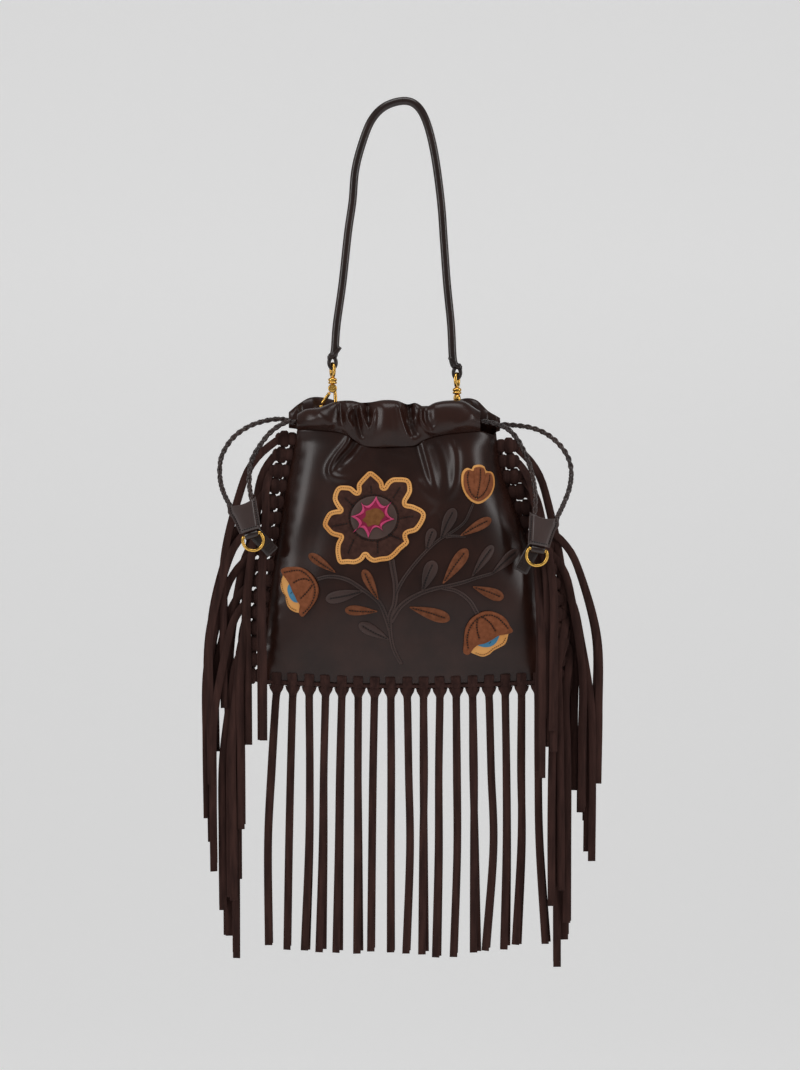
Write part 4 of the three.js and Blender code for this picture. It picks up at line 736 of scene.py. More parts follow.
def makeClasp(side, place):
    at = np.array([place["x"], 0, place["z"]])
    eye, hookShape, ring = Shape(), Shape(), Shape()
    wire = ovalSection(hook["eyeWire"], hook["eyeWire"], 14)
    eyeRing = ovalRing(hook["eyeDeep"] - hook["eyeWire"], hook["eyeTall"] - hook["eyeWire"],
                       (0, 0, -hook["eyeTall"] / 2))
    points, faces = sweep(eyeRing, wire, (1, 0, 0), closed=True)
    eye.add(turned(points, place["eyeTurn"]) + at, faces)
    half = hook["collarWide"] / 2
    low = collarZ - hook["collarTall"]
    profile = [(low, half * 0.8), (low + 0.5, half), (low + 1.6, half), (low + 1.9, half * 0.82),
               (low + 2.5, half * 0.82), (low + 2.8, half), (collarZ - 0.9, half),
               (collarZ, half * 0.72), (collarZ + 0.7, half * 0.45)]
    points, faces = roundBar(profile)
    eye.add(points + at, faces)
    eye.place(f"swivel_eye_{side}", "gold", [f"clasp_eye_{side}"])

    neck = [(bossZ + 1, 2.4), (low - 1.2, 2.2), (low - 0.4, 1.9), (low - 0.3, 1.9)]
    points, faces = roundBar(neck)
    hookShape.add(turned(points, place["turn"]) + at, faces)
    boss, thick = hook["bossWide"] / 2 + hook["bossRim"], hook["bossThick"] / 2
    profile = [(-thick, boss * 0.8), (-thick + 0.4, boss), (thick - 0.4, boss), (thick, boss * 0.8)]
    points, faces = roundBar(profile, "y")
    hookShape.add(turned(points + (0, 0, bossZ), place["turn"]) + at, faces)
    pin = [(-thick - 0.5, boss * 0.3), (-thick - 0.35, boss * 0.42), (thick + 0.35, boss * 0.42),
           (thick + 0.5, boss * 0.3)]
    points, faces = roundBar(pin, "y")
    hookShape.add(turned(points + (0, 0, bossZ), place["turn"]) + at, faces)
    line = smoothLine(hookLine, 46)
    points, faces = sweep(line, ovalSection(hook["wire"], hook["wire"], 14), (0, 1, 0))
    hookShape.add(turned(points, place["turn"]) + at, faces)
    hookShape.place(f"snap_hook_{side}", "gold", [f"clasp_hook_{side}"])

    tip = np.array(hookLine[-1]) - (0, 0, bossZ)
    way = tip / np.linalg.norm(tip)
    start = boss + hook["gap"]
    end = np.linalg.norm(tip) - hook["gap"] - 1
    spots = np.linspace(start, end, 8)
    gateLine = spots[:, None] * way + (0, 0, bossZ)
    radii = np.array([0.75, 1, 1, 1, 1, 1, 1, 0.75])
    section = ovalSection(hook["gateWire"], hook["gateWire"] * 1.15, 12)
    points, faces = sweep(gateLine, section[None] * radii[:, None, None], (0, 1, 0))
    gate = Shape()
    gate.add(turned(points, place["turn"]) + at, faces)
    gate.place(f"spring_gate_{side}", "gold", [f"clasp_gate_{side}"], body=f"{side}_gate")

    size = hook["ringWide"] - hook["ringWire"]
    ringTop = bossZ - 21.8 + hook["wire"] / 2 + hook["gap"] + hook["ringWire"]
    line = ovalRing(size, size, (-3.4, 0, ringTop - hook["ringWide"] / 2))
    section = ovalSection(hook["ringWire"], hook["ringWire"], 12)
    points, faces = sweep(line, section, (1, 0, 0), closed=True)
    ring.add(turned(points, place["turn"]) + at, faces)
    ring.place(f"hidden_ring_{side}", "gold", [f"anchor_ring_{side}"])


def makeStrapEnd(side, place):
    shape = Shape()
    band = hook["loopBand"]
    middle = -hook["eyeWire"] - hook["loopSlack"] - band / 2 + (hook["loopTall"] - band) / 2
    line = ovalRing(hook["loopWide"] - band, hook["loopTall"] - band, (0, 0, middle), 44, "xz")
    points, faces = sweep(line, flatSection(hook["loopDeep"], band), (0, 1, 0), closed=True)
    shape.add(points, faces)
    knotZ = middle + hook["loopTall"] / 2 - band / 4
    rings = []
    for z, wide, deep in ((-2.6, 4.2, 4.6), (-2.0, 7.0, 7.2), (-0.4, 8.2, 8.2), (1.4, 7.8, 7.6),
                          (2.4, 6.4, 6.2)):
        section = ovalSection(wide, deep, 24, 0.8)
        rings.append(np.column_stack([section[:, 0], section[:, 1], np.full(24, knotZ + z)]))
    shape.add(*loft(rings))
    lean = math.radians(38) * place["tailSide"]
    tail = []
    for along, wide, thick in ((0, 3.4, 2.4), (4, 3.8, 2.4), (8.5, 3.9, 2.2), (11.5, 3.4, 2.0)):
        section = np.array(flatSection(wide, thick))
        x = section[:, 0] * math.cos(lean) + along * math.sin(lean)
        z = -section[:, 0] * math.sin(lean) + along * math.cos(lean)
        tail.append(np.column_stack([x, section[:, 1] - strap["wide"] / 2 - 1.2, z + knotZ - 1]))
    shape.add(*loft(tail))
    cross = []
    for along, drop in ((-4.6, 0.8), (-2.4, 0.1), (0, -0.2), (2.4, 0.1), (4.6, 0.8)):
        section = np.array(flatSection(3.2, 1.6))
        x = np.full(8, along)
        z = section[:, 0] + knotZ - 0.2 + along * 0.28 * place["tailSide"]
        cross.append(np.column_stack([x, section[:, 1] - 4.6 + drop, z]))
    shape.add(*loft(cross))
    shape.points = [p + (place["x"], 0, place["z"]) for p in shape.points]
    shape.place(f"strap_loop_{side}", "strap", [f"strap_end_{side}"])


for side, place in clasps.items():
    makeClasp(side, place)
    makeStrapEnd(side, place)
print("strap and clasps made")


# Leather ends of the drawcords, with their rings

caps = {
    "tall": 28, "topWide": 27, "lowWide": 19.5, "thick": 8.4, "flat": 3.2, "ringWide": 21.4,
    "ringWire": 3.0, "loopWide": 12.4, "loopBand": 1.6, "tabLong": 27, "tabWide": 13,
    "tabThick": 4.5, "barUp": 0.55, "gap": 0.3,
    "left": {"x": -137.2, "y": -26, "z": -383.4, "lean": -17, "tabX": 2, "tabTurn": 26,
             "earSide": -1},
    "right": {"x": 119.7, "y": -37, "z": -396.5, "lean": 11, "tabX": -3, "tabTurn": -18,
              "earSide": 1},
}


def leaned(points, degrees):  # turned about Y as the part's cord ends are
    c, s = math.cos(math.radians(degrees)), math.sin(math.radians(degrees))
    points = np.asarray(points, float)
    x, z = points[:, 0], points[:, 2]
    return np.column_stack([x * c + z * s, points[:, 1], -x * s + z * c])


def stitchSet(shape, line, normal, spacing, size, lift=0.0):  # short threads along a line
    line = np.asarray(line, float)
    normal = np.broadcast_to(np.asarray(normal, float), line.shape)
    run = np.concatenate([[0], np.cumsum(np.linalg.norm(np.diff(line, axis=0), axis=1))])
    if run[-1] < spacing:
        return
    count = max(int(round(run[-1] / spacing)), 1)
    spots = (np.arange(count) + 0.5) * run[-1] / count
    for spot in spots:
        here = np.array([np.interp(spot, run, line[:, k]) for k in range(3)])
        ahead = np.array([np.interp(spot + 0.3, run, line[:, k]) for k in range(3)])
        behind = np.array([np.interp(spot - 0.3, run, line[:, k]) for k in range(3)])
        up = unit(np.array([np.interp(spot, run, normal[:, k]) for k in range(3)]))
        along = unit(ahead - behind)
        side = np.cross(up, along)
        long, wide, tall = size
        rings = []
        for share, girth in ((-0.5, 0.35), (-0.36, 0.85), (0, 1.0), (0.36, 0.85), (0.5, 0.35)):
            ring = []
            for k in range(6):
                turn = k * math.pi / 3
                ring.append(here + along * share * long + side * math.cos(turn) * girth * wide / 2
                            + up * (lift + math.sin(turn) * girth * tall / 2))
            rings.append(ring)
        shape.add(*loft(rings))


def makeCap(side, place):
    ear = place["earSide"]
    rows, columns = 40, 44
    shape = Shape()
    tall, thick = caps["tall"], caps["thick"]

    def surface(u, v, face):  # u from -1 to 1 across, v from 0 to 1 up; face -1 front, 1 back
        half = (caps["lowWide"] + (caps["topWide"] - caps["lowWide"]) * v) / 2
        earOut = 1.8 * np.exp(-((v - 0.74) / 0.12) ** 2) * np.clip(u * ear, 0, 1) ** 3
        x = u * (half + earOut)
        sag = caps["flat"] * (1 - u ** 2) * v ** 3
        z = v * tall - sag
        rim = np.clip((1 - np.abs(u)) * half / 4.2, 0, 1)
        foot = np.clip(v * tall / 3.0, 0, 1)
        swell = ease(rim, 0.35, 1) * (0.45 + 0.55 * ease(foot, 0, 1))
        deep = thick / 2 * (0.26 + 0.74 * swell * (1 - 0.9 * u ** 2))
        dent = 0.5 * np.exp(-((rim - 0.42) / 0.18) ** 2)
        deep = deep - dent * 0.4
        return x, face * deep, z

    u = np.linspace(-1, 1, columns)
    v = np.linspace(0, 1, rows)
    uGrid, vGrid = np.meshgrid(u, v)
    grids = []
    for face in (-1, 1):
        x, y, z = surface(uGrid, vGrid, face)
        y = np.broadcast_to(y, x.shape)
        grids.append(np.stack([x, y, z], axis=-1))
    points = np.vstack([g.reshape(-1, 3) for g in grids])
    points, faces = outwards(points, sheetFaces(rows, columns))
    shape.add(points, faces)
    threads = Shape()
    for edge in (-0.83, 0.83):
        vs = np.linspace(0.1, 0.93, 24)
        x, y, z = surface(np.full(24, edge), vs, -1)
        stitchSet(threads, np.column_stack([x, y, z]), (0, -1, 0), 2.1, (1.6, 1.1, 1.0), 0.2)
    us = np.linspace(-0.7, 0.7, 24)
    x, y, z = surface(us, np.full(24, 0.085), -1)
    stitchSet(threads, np.column_stack([x, y, z]), (0, -1, 0), 2.1, (1.6, 1.1, 1.0), 0.2)

    loopSize = caps["ringWire"] + 2 * caps["gap"] + 2 * caps["loopBand"]
    loopZ = -loopSize / 2 - caps["gap"]
    loop = Shape()
    size = caps["ringWire"] + 2 * caps["gap"] + caps["loopBand"]
    line = ovalRing(size * 0.98, size * 0.98, (0, 0, loopZ), 28)
    loop.add(*sweep(line, flatSection(caps["loopWide"], caps["loopBand"]), (1, 0, 0), closed=True))

    radius = (caps["ringWide"] - caps["ringWire"]) / 2
    opening = math.asin(caps["barUp"])
    turn = np.linspace(math.pi - opening, 2 * math.pi + opening, 60)
    line = np.column_stack([np.cos(turn) * radius, np.zeros(60),
                            (np.sin(turn) - caps["barUp"]) * radius])
    bar = np.linspace(line[-1], line[0], 14)[1:-1]
    line = np.vstack([line, bar])
    tilt = math.radians(6)
    line = np.column_stack([line[:, 0], -line[:, 2] * math.sin(tilt), line[:, 2] * math.cos(tilt)])
    line = line + (0, 0, loopZ)
    ring = Shape()
    ring.add(*sweep(line, ovalSection(caps["ringWire"], caps["ringWire"], 14), (0, 1, 0), True))

    tab = Shape()
    rings = []
    long, wide, flat = caps["tabLong"], caps["tabWide"], caps["tabThick"]
    for along, girth in ((0, 0.7), (0.04, 0.95), (0.3, 1), (0.6, 1), (0.8, 0.98), (0.93, 1.02),
                         (0.98, 0.95), (1, 0.7)):
        section = ovalSection(wide * girth, flat * girth, 28, 0.62)
        rings.append(np.column_stack([section[:, 0], section[:, 1], np.full(28, -along * long)]))
    tab.add(*loft(rings))
    for along in (0.2, 0.36, 0.52, 0.68, 0.86):
        xs = np.linspace(-0.36, 0.36, 12) * wide
        line = np.column_stack([xs, np.full(12, -flat / 2), np.full(12, -along * long)])
        stitchSet(tab, line, (0, -1, 0), 2.2, (1.6, 0.9, 0.7))
    tabY = (caps["thick"] - 0.4 + flat) / 2 + 2 * caps["gap"]
    tab.points = [leaned(p, -place["tabTurn"]) + (place["tabX"], tabY, -caps["gap"])
                  for p in tab.points]

    made = []
    for part, name, finish, node in (
        (shape, "cord_end", "cap", f"cord_cap_{side}"),
        (threads, "cord_end_stitches", "thread", None),
        (loop, "ring_keeper", "strap", f"ring_loop_{side}"),
        (ring, "end_ring", "gold", f"d_ring_{side}"),
        (tab, "end_tab", "strap", f"cap_tab_{side}"),
    ):
        at = (place["x"], place["y"], place["z"])
        part.points = [leaned(p, place["lean"]) + at for p in part.points]
        made.append(part.place(f"{name}_{side}", finish, [node] if node else []))
    return made


capPieces = {side: makeCap(side, caps[side]) for side in ("left", "right")}
for name, (strand, line, length) in cordEnds.items():
    held = capPieces["left" if "left" in name else "right"]
    held = held[:2] if name.endswith("front") else held[2:]
print("cord ends made")


# Fringe: suede strips tied round the panels' edges

fringe = {
    "wide": 6.9, "thick": 1.5, "tailLong": 242, "hemWide": 8.6, "hemTall": 10.0, "hemThick": 1.7,
    "knotWide": 13.4, "knotTall": 9.0, "knotDeep": 9.6, "sideKnot": 16.5, "laceShow": 2.0,
    "sideTall": 13.0, "laceWide": 4.4,
}
bottomTails = {  # mid and low are shares of the knots' pitch, long a share of tailLong
    "mid": [-.52, -.24, 0, -.15, -.17, 0, -.15, 0, .17, 0, -.07, .06, .12, .28, .1, 0, .1],
    "low": [-.46, -.34, -.23, -.28, -.26, 0, -.21, 0, -.05, 0, -.2, -.15, .18, -.18, 0, -.3, .5],
    "long": [.956, .97, .97, .974, .974, .976, .967, .97, .974, .978, .989, .989, .974, .969,
             .967, .952, .952],
    "split": [.1, .1, .3, .55, .5, .4, .1, .1, .15, .5, .3, .12, .6, .25, .45, .4, .3],
}
sideTails = {
    left: {
        "out": [1.04, .62, .3, .49, 1.05, 1.04, .68, 1.0, .39, .87, .75, .38, .41, .54, .46, .29],
        "front": [.02, -.08, .3, .1, -.1, .08, -.06, 0, .14, -.14, .1, -.1, .16, .02, -.12, .06],
        "long": [1.0, 1.0, 1.0, .96, .96, .99, 1.03, 1.0, .98, 1.01, 1.02, 1.02, 1.01, .99,
                 1.03, 1.05],
    },
    right: {
        "out": [.92, .6, .66, .53, .24, 1.12, .64, .66, .62, .65, .24, 0, -.12, .12, .12, -.06],
        "front": [0, .46, .5, .46, .5, .06, -.08, .16, -.12, .08, -.14, .3, .34, .16, -.06, .12],
        "long": [1.06, .95, .94, .96, 1.0, .97, .94, .96, .94, 1.03, 1.05, 1.02, 1.02, 1.03,
                 1.04, 1.08],
    },
}
chance = random.Random(7)


def strip(shape, line, twist=0.0, start=0.0, wide=None, steps=30):
    line = smoothLine(line, steps)
    wide = wide or fringe["wide"]
    share = np.linspace(0, 1, steps)
    turn = start + twist * share ** 1.3
    direction = np.column_stack([np.cos(turn), np.sin(turn), np.zeros(steps)])
    shape.add(*sweep(line, flatSection(wide, fringe["thick"]), direction))


def knotBody(shape, centre, profile, axis, count=20):
    # profile: (along, half height, half depth), lofted down (axis z) or outwards (axis x)
    rings = []
    for along, half, deep in profile:
        section = ovalSection(2 * half, 2 * deep, count, 0.75)
        if axis == "z":
            ring = np.column_stack([section[:, 0], section[:, 1], np.full(count, along)])
        else:
            ring = np.column_stack([np.full(count, along), section[:, 1], section[:, 0]])
        rings.append(ring + centre)
    shape.add(*loft(rings))


def makeBottomFringe():
    shape = Shape()
    count = 17
    for n in range(count):
        x = knots["firstX"] + n * knots["pitch"]
        across = (x - centreX(1.0)) / halfWide(1.0)
        z = lowLevel - pouch["lowSag"] * (1 - across ** 2)
        tilt = chance.uniform(-0.8, 0.8)
        path = []
        for side in (front, back):
            up = np.array([1.06, 0.98, 0.8, 0.5, 0.22, 0.0]) * fringe["hemTall"]
            px, deep, pz = panelBase(side, np.full(6, across), 1 - up / pouch["panelTall"])
            lift = np.array([-1.4, 0.7, 1.05, 1.1, 1.1, 1.1])
            leg = np.column_stack([np.full(6, x) + tilt * up / 10, side * (deep + lift), pz])
            path.append(leg if side < 0 else leg[::-1])
        under = np.array([(x, 0.0, z - 1.6)])
        line = smoothLine(np.vstack([path[0], under, path[1]]), 34)
        shape.add(*sweep(line, flatSection(fringe["hemWide"], fringe["hemThick"]), (1, 0, 0)))
        low = z - 0.4
        half, deep = fringe["knotWide"] / 2, fringe["knotDeep"] / 2
        drop = fringe["knotTall"]
        profile = [(0.1, 0.5, 0.6), (0.35, 0.9, 0.94), (0.3, 0.99, 1.02), (0.0, 1.03, 1.06),
                   (-0.5, 1.02, 1.05), (-0.9, 0.95, 0.99), (-1.4, 0.96, 1.0), (-2.6, 0.92, 0.96),
                   (-4.0, 0.82, 0.88), (-5.6, 0.66, 0.74), (-7.2, 0.55, 0.55), (-drop, 0.5, 0.34)]
        profile = [(a, w * half, d * deep) for a, w, d in profile]
        knotBody(shape, (x, 0, low), profile, "z")
        start = np.array([x, 0.0, low - drop * 0.7])
        mid, lowOut = bottomTails["mid"][n], bottomTails["low"][n]
        reach = bottomTails["long"][n] * fringe["tailLong"] - 4
        split = bottomTails["split"][n] * 6
        for layer in (-1, 1):
            y = layer * 1.3
            aside = layer * split * 0.5
            sway = chance.uniform(-0.6, 0.6)
            end = reach - (0 if layer < 0 else chance.uniform(0, 4))
            points = [start + (0, y * 0.5, 0), start + (mid * 2, y, -12),
                      start + (mid * knots["pitch"] * 0.55 + sway, y * 1.2, -0.3 * reach),
                      start + (mid * knots["pitch"] + aside * 0.35, y * 1.3, -0.6 * reach),
                      start + (lowOut * knots["pitch"] + aside, y * 1.6 + sway, -end)]
            strip(shape, points, chance.uniform(-0.35, 0.35), chance.uniform(-0.12, 0.12))
    share = np.linspace(-0.975, 0.975, 240)
    for side in (front, back):  # the lace that links the loops along the edge
        weave = np.sin(np.pi * (share * halfWide(1.0) + centreX(1.0) - knots["firstX"])
                       / knots["pitch"] * 2 + math.pi / 2)
        x, deep, z = panelBase(side, share, np.full(240, 1 - 2.6 / pouch["panelTall"]))
        line = np.column_stack([x, side * (deep + 1.1 - 0.5 * weave), z + 0.4 * weave])
        shape.add(*sweep(line, ovalSection(3.6, 2.0, 8), (0, 0, 1)))
    shape.place("knotted_fringe_low", "fringe", ["bottom_fringe"])


def makeSideFringe(side, name, node):
    shape = Shape()
    table = sideTails[side]
    count = len(table["out"])
    lace = []
    for n in range(count):
        down = 0.035 + (0.965 - 0.035) * n / (count - 1)
        x, _, z = panelBase(front, np.array(float(side)), np.array(down))
        x, z = float(x), float(z)
        lace.append((x + side * 1.5, 0, z))
        tall, deep = fringe["sideTall"] / 2, fringe["knotDeep"] / 2
        long = fringe["sideKnot"]
        roll = chance.uniform(-0.5, 0.5)
        profile = [(-3.0, 0.5, 0.6), (-2.2, 0.78, 0.9), (-0.6, 0.92, 0.98), (2.4, 0.95, 1.0),
                   (3.6, 0.9, 0.9), (4.3, 0.82, 0.86), (4.8, 1.0, 1.04), (long * 0.5, 1.06, 1.1),
                   (long * 0.68, 1.02, 1.06), (long * 0.76, 0.84, 0.9), (long * 0.82, 0.9, 0.96),
                   (long * 0.93, 0.74, 0.8), (long * 1.0, 0.4, 0.5)]
        profile = [(side * (a + fringe["laceShow"]), h * tall, d * deep) for a, h, d in profile]
        knotBody(shape, (x, 0, z + roll), profile, "x")
        wrap = []
        for share in np.linspace(0, 1, 15)[:-1]:
            turn = share * 2 * math.pi
            wrap.append((x + side * (fringe["laceShow"] + long * (0.5 + 0.07 * math.sin(turn))),
                         -math.sin(turn) * deep * 1.12, z + roll + math.cos(turn) * tall * 1.06))
        shape.add(*sweep(wrap, flatSection(fringe["wide"] * 0.8, 1.3), (1, 0, 0), closed=True))
        centre = np.array([x + side * (fringe["laceShow"] + long / 2), 0, z])
        out, forward = table["out"][n], table["front"][n]
        spread, lean = side * out * 50, -forward * 50
        drop = table["long"][n] * fringe["tailLong"]
        for layer in (-1, 1):
            y = layer * 1.3
            aside = chance.uniform(-2.6, 2.6)
            end = drop - (0 if layer < 0 else chance.uniform(0, 9))
            points = [centre + (side * 1.5, y * 0.4, 1.0), centre + (side * 7, y, -1.5),
                      centre + (spread * 0.4 + side * 5, lean * 0.42 + y, -0.075 * drop),
                      centre + (spread * 0.74, lean * 0.7 + y, -0.18 * drop),
                      centre + (spread * 1.02 + aside * 0.5, lean + y * 1.2, -0.44 * drop),
                      centre + (spread * 1.02 + aside, lean + y * 1.4, -0.72 * drop),
                      centre + (spread + aside, lean + y * 1.6, -end)]
            strip(shape, points, chance.uniform(-0.5, 0.5), chance.uniform(-0.2, 0.2), steps=36)
    for offset in (-0.9, 1.6):
        line = smoothLine(np.array(lace) + (offset * side, 0, 0), 200)
        line[:, 0] += 0.5 * np.sin(np.linspace(0, 2 * math.pi * (count - 1), 200))
        shape.add(*sweep(line, ovalSection(fringe["laceWide"] / 2 + 0.3, 3.4, 8), (1, 0, 0)))
    shape.place(name, "fringe", [node])


makeBottomFringe()
makeSideFringe(left, "knotted_fringe_left", "side_fringe_left")
makeSideFringe(right, "knotted_fringe_right", "side_fringe_right")
print("fringe made")


# The flower spray, sewn flat to the front. Places on it are (x, z).

trim = {"step": 0.8, "border": 4.3}
mapX = np.arange(-129, 129, trim["step"])
mapZ = np.arange(-521, -297, trim["step"])


def frontDepth(x, z):  # how far the front leather stands out at a place
    across = np.zeros(x.shape)
    down = np.full(x.shape, 0.5)
    for _ in range(8):
        top = seamLevel + pouch["casingTall"] * read(frontRows, "across", "seam", across)
        low = lowLevel - pouch["lowSag"] * (1 - across ** 2)
        down = np.clip((top - z) / (top - low), 0, 1)
        across = np.clip((x - centreX(down)) / halfWide(down), -0.985, 0.985)
    _, deep, _ = panelBase(front, across, down)
    return deep + panelRelief(front, x, z, across, down)


depthMap = frontDepth(*np.meshgrid(mapX, mapZ))
slopeMaps = np.gradient(depthMap, trim["step"])


def sample(field, places):
    u = np.clip((places[:, 0] - mapX[0]) / trim["step"], 0, len(mapX) - 1.01)
    v = np.clip((places[:, 1] - mapZ[0]) / trim["step"], 0, len(mapZ) - 1.01)
    i, j = u.astype(int), v.astype(int)
    u, v = u - i, v - j
    near = field[j, i] * (1 - u) + field[j, i + 1] * u
    far = field[j + 1, i] * (1 - u) + field[j + 1, i + 1] * u
    return near * (1 - v) + far * v


def onFront(places, lift):  # points on the leather, lifted off it, and the directions out of it
    places = np.asarray(places, float).reshape(-1, 2)
    ones = np.ones(len(places))
    slopes = [sample(slopeMaps[1], places), ones, sample(slopeMaps[0], places)]
    normal = -unit(np.column_stack(slopes))
    points = np.column_stack([places[:, 0], -sample(depthMap, places), places[:, 1]])
    return points + normal * (ones * lift)[:, None], normal


def isInside(places, loop):
    x, z = places[:, :1], places[:, 1:]
    ax, az = loop[:, 0], loop[:, 1]
    bx, bz = np.roll(ax, -1), np.roll(az, -1)
    passes = (az > z) != (bz > z)
    level = np.where(bz == az, 1e-9, bz - az)
    return np.sum(passes & (x < ax + (z - az) * (bx - ax) / level), axis=1) % 2 == 1


def awayFrom(places, line, closed=True):
    start = line if closed else line[:-1]
    run = np.roll(line, -1, axis=0) - line if closed else np.diff(line, axis=0)
    offset = places[:, None] - start[None]
    share = np.sum(offset * run, axis=2) / np.maximum(np.sum(run * run, axis=1), 1e-9)
    offset = offset - np.clip(share, 0, 1)[..., None] * run
    return np.min(np.linalg.norm(offset, axis=2), axis=1)


def plate(shape, outline, holes=(), low=0.3, thick=1.4, soft=0.8, puff=0.3, grooves=(), cell=1.2):
    loops = [np.asarray(loop, float) for loop in (outline, *holes)]

    def allowed(places, away):
        keep = isInside(places, loops[0])
        for hole in loops[1:]:
            keep &= ~isInside(places, hole)
        for loop in loops:
            keep &= awayFrom(places, loop) > away
        return places[keep]

    rim = np.vstack(loops)
    extra = []
    for loop in loops:
        along = tangents(loop, True)
        across = np.column_stack([-along[:, 1], along[:, 0]])
        for off in (0.25 * soft, 0.65 * soft, 1.2 * soft):
            for way in (1, -1):
                extra.append(allowed(loop + across * off * way, off * 0.94))
    xs = np.arange(rim[:, 0].min(), rim[:, 0].max(), cell)
    zs = np.arange(rim[:, 1].min(), rim[:, 1].max(), cell)
    gridX, gridZ = np.meshgrid(xs, zs)
    gridX[1::2] += cell / 2
    extra.append(allowed(np.column_stack([gridX.ravel(), gridZ.ravel()]), 1.9 * soft))
    places = np.vstack([rim, *extra])
    edges, start = [], 0
    for loop in loops:
        edges += [(start + k, start + (k + 1) % len(loop)) for k in range(len(loop))]
        start += len(loop)
    made = delaunay_2d_cdt([Vector(p) for p in places], edges, [], 0, 1e-5)
    places = np.array([tuple(p) for p in made[0]])
    triangles = np.array([tuple(f) for f in made[2]])
    middles = places[triangles].mean(axis=1)
    keep = isInside(middles, loops[0])
    for hole in loops[1:]:
        keep &= ~isInside(middles, hole)
    triangles = triangles[keep]
    away = np.min([awayFrom(places, loop) for loop in loops], axis=0)
    edge = np.sqrt(1 - (1 - np.clip(away / soft, 0, 1)) ** 2)
    lift = low + thick * (0.45 + 0.55 * edge) + puff * (1 - np.exp(-away / 2.5))
    for line, depth, wide in grooves:
        lift -= depth * np.exp(-(awayFrom(places, line, False) / wide) ** 2)
    top, _ = onFront(places, lift)
    under, _ = onFront(places, -0.2)
    count = len(places)
    faces = [tuple(t) for t in triangles] + [tuple(t[::-1] + count) for t in triangles]
    sides = {}
    for a, b, c in triangles:
        for p, q in ((a, b), (b, c), (c, a)):
            sides[(p, q)] = True
    faces += [(q, p, p + count, q + count) for p, q in sides if (q, p) not in sides]
    shape.add(*outwards(np.vstack([top, under]), faces))


def seamBand(shape, line, wide, low, thick, closed=False, dent=0.12):  # a flat sewn band
    line = np.asarray(line, float)
    along = tangents(line, closed)
    across = np.column_stack([-along[:, 1], along[:, 0]])
    wide = np.broadcast_to(wide, len(line))
    shares = np.array([-1, -0.96, -0.86, -0.66, -0.4, -0.16, 0, 0.16, 0.4, 0.66, 0.86, 0.96, 1])
    lifts = low + thick * (0.4 + 0.6 * np.sqrt(1 - np.abs(shares) ** 3))
    lifts -= dent * np.exp(-(shares / 0.22) ** 2)
    rows = [onFront(line + across * (s * wide / 2)[:, None], h)[0] for s, h in zip(shares, lifts)]
    rows += [onFront(line + across * (s * wide / 2)[:, None], -0.2)[0] for s in (1, 0, -1)]
    shape.add(*loft(np.stack(rows, axis=1), closed))


def sew(shape, line, lift, spacing=2.2, size=(1.5, 0.75, 0.7), closed=False):
    line = np.asarray(line, float)
    if closed:
        line = np.vstack([line, line[:1]])
    points, normal = onFront(line, lift)
    stitchSet(shape, points, normal, spacing, size)


def scaled(outline, centre, share):
    return np.asarray(centre) + (np.asarray(outline) - centre) * share


darkThreads, lightThreads = Shape(), Shape()
rosette = {
    "centre": (-26.8, -371.8), "half": (20.7, 19.3), "stitchHalf": (21.7, 20.3),
    "border": [
        (-29.8, -332.6), (-24.6, -336.3), (-20.8, -340.4), (-19.5, -345.2), (-16.6, -345.5),
        (-13.9, -341.4), (-9.9, -338.4), (-3.9, -338.0), (2.0, -338.7), (4.4, -341.6),
        (5.0, -347.6), (3.2, -351.9), (0.5, -356.5), (0.4, -360.0), (2.8, -361.4), (6.4, -361.9),
        (10.8, -363.6), (15.2, -366.0), (17.2, -369.2), (16.0, -373.8), (13.2, -378.6),
        (9.6, -382.4), (3.8, -384.1), (0.9, -386.2), (0.9, -389.7), (2.3, -393.3), (-0.7, -396.2),
        (-4.7, -399.6), (-8.3, -403.6), (-13.5, -407.4), (-20.6, -408.4), (-26.6, -409.4),
        (-30.8, -407.2), (-33.1, -404.4), (-35.4, -404.4), (-38.5, -408.4), (-43.7, -410.8),
        (-50.0, -410.5), (-55.8, -410.8), (-57.6, -407.2), (-58.4, -401.6), (-57.8, -395.3),
        (-55.4, -390.3), (-55.4, -387.9), (-58.8, -386.9), (-63.5, -385.3), (-67.7, -381.0),
        (-69.7, -377.8), (-68.3, -373.0), (-65.1, -368.2), (-60.4, -366.6), (-56.2, -366.2),
        (-55.6, -364.2), (-58.0, -361.1), (-60.8, -355.5), (-60.0, -350.0), (-57.2, -345.7),
        (-52.4, -345.2), (-47.6, -346.0), (-44.1, -349.0), (-41.2, -350.2), (-39.6, -348.0),
        (-39.7, -342.8), (-37.1, -339.2), (-33.3, -335.2),
    ],
    "folds": [
        [(-29.4, -343.2), (-28.7, -350.4)], [(-3.3, -344.5), (-9.9, -354.6)],
        [(8.4, -370.6), (2.0, -371.2), (-3.9, -372.6)], [(-1.9, -391.3), (-14.7, -386.1)],
        [(-23.6, -392.1), (-23.2, -403.6)], [(-44.3, -390.9), (-49.9, -403.6)],
        [(-49.8, -376.8), (-63.9, -379.6)], [(-52.4, -353.9), (-44.6, -362.0)],
    ],
    "tips": [(-24.6, -352.7), (-11.2, -357.7), (-8.4, -373.2), (-17.6, -384.6), (-31.6, -390.0),
             (-45.0, -384.9), (-47.0, -370.5), (-38.3, -358.1)],
    "valleys": [(-18.6, -361.4), (-14.9, -367.2), (-19.0, -378.2), (-25.9, -380.4),
                (-36.9, -380.6), (-39.6, -377.2), (-37.6, -366.2), (-31.5, -361.0)],
    "core": [(-30.2, -364.9), (-25.4, -363.3), (-20.6, -364.9), (-17.1, -370.0), (-20.6, -374.6),
             (-22.2, -378.8), (-27.0, -378.2), (-31.6, -380.0), (-33.4, -376.8), (-36.9, -374.2),
             (-33.9, -370.6), (-33.7, -366.2)],
}


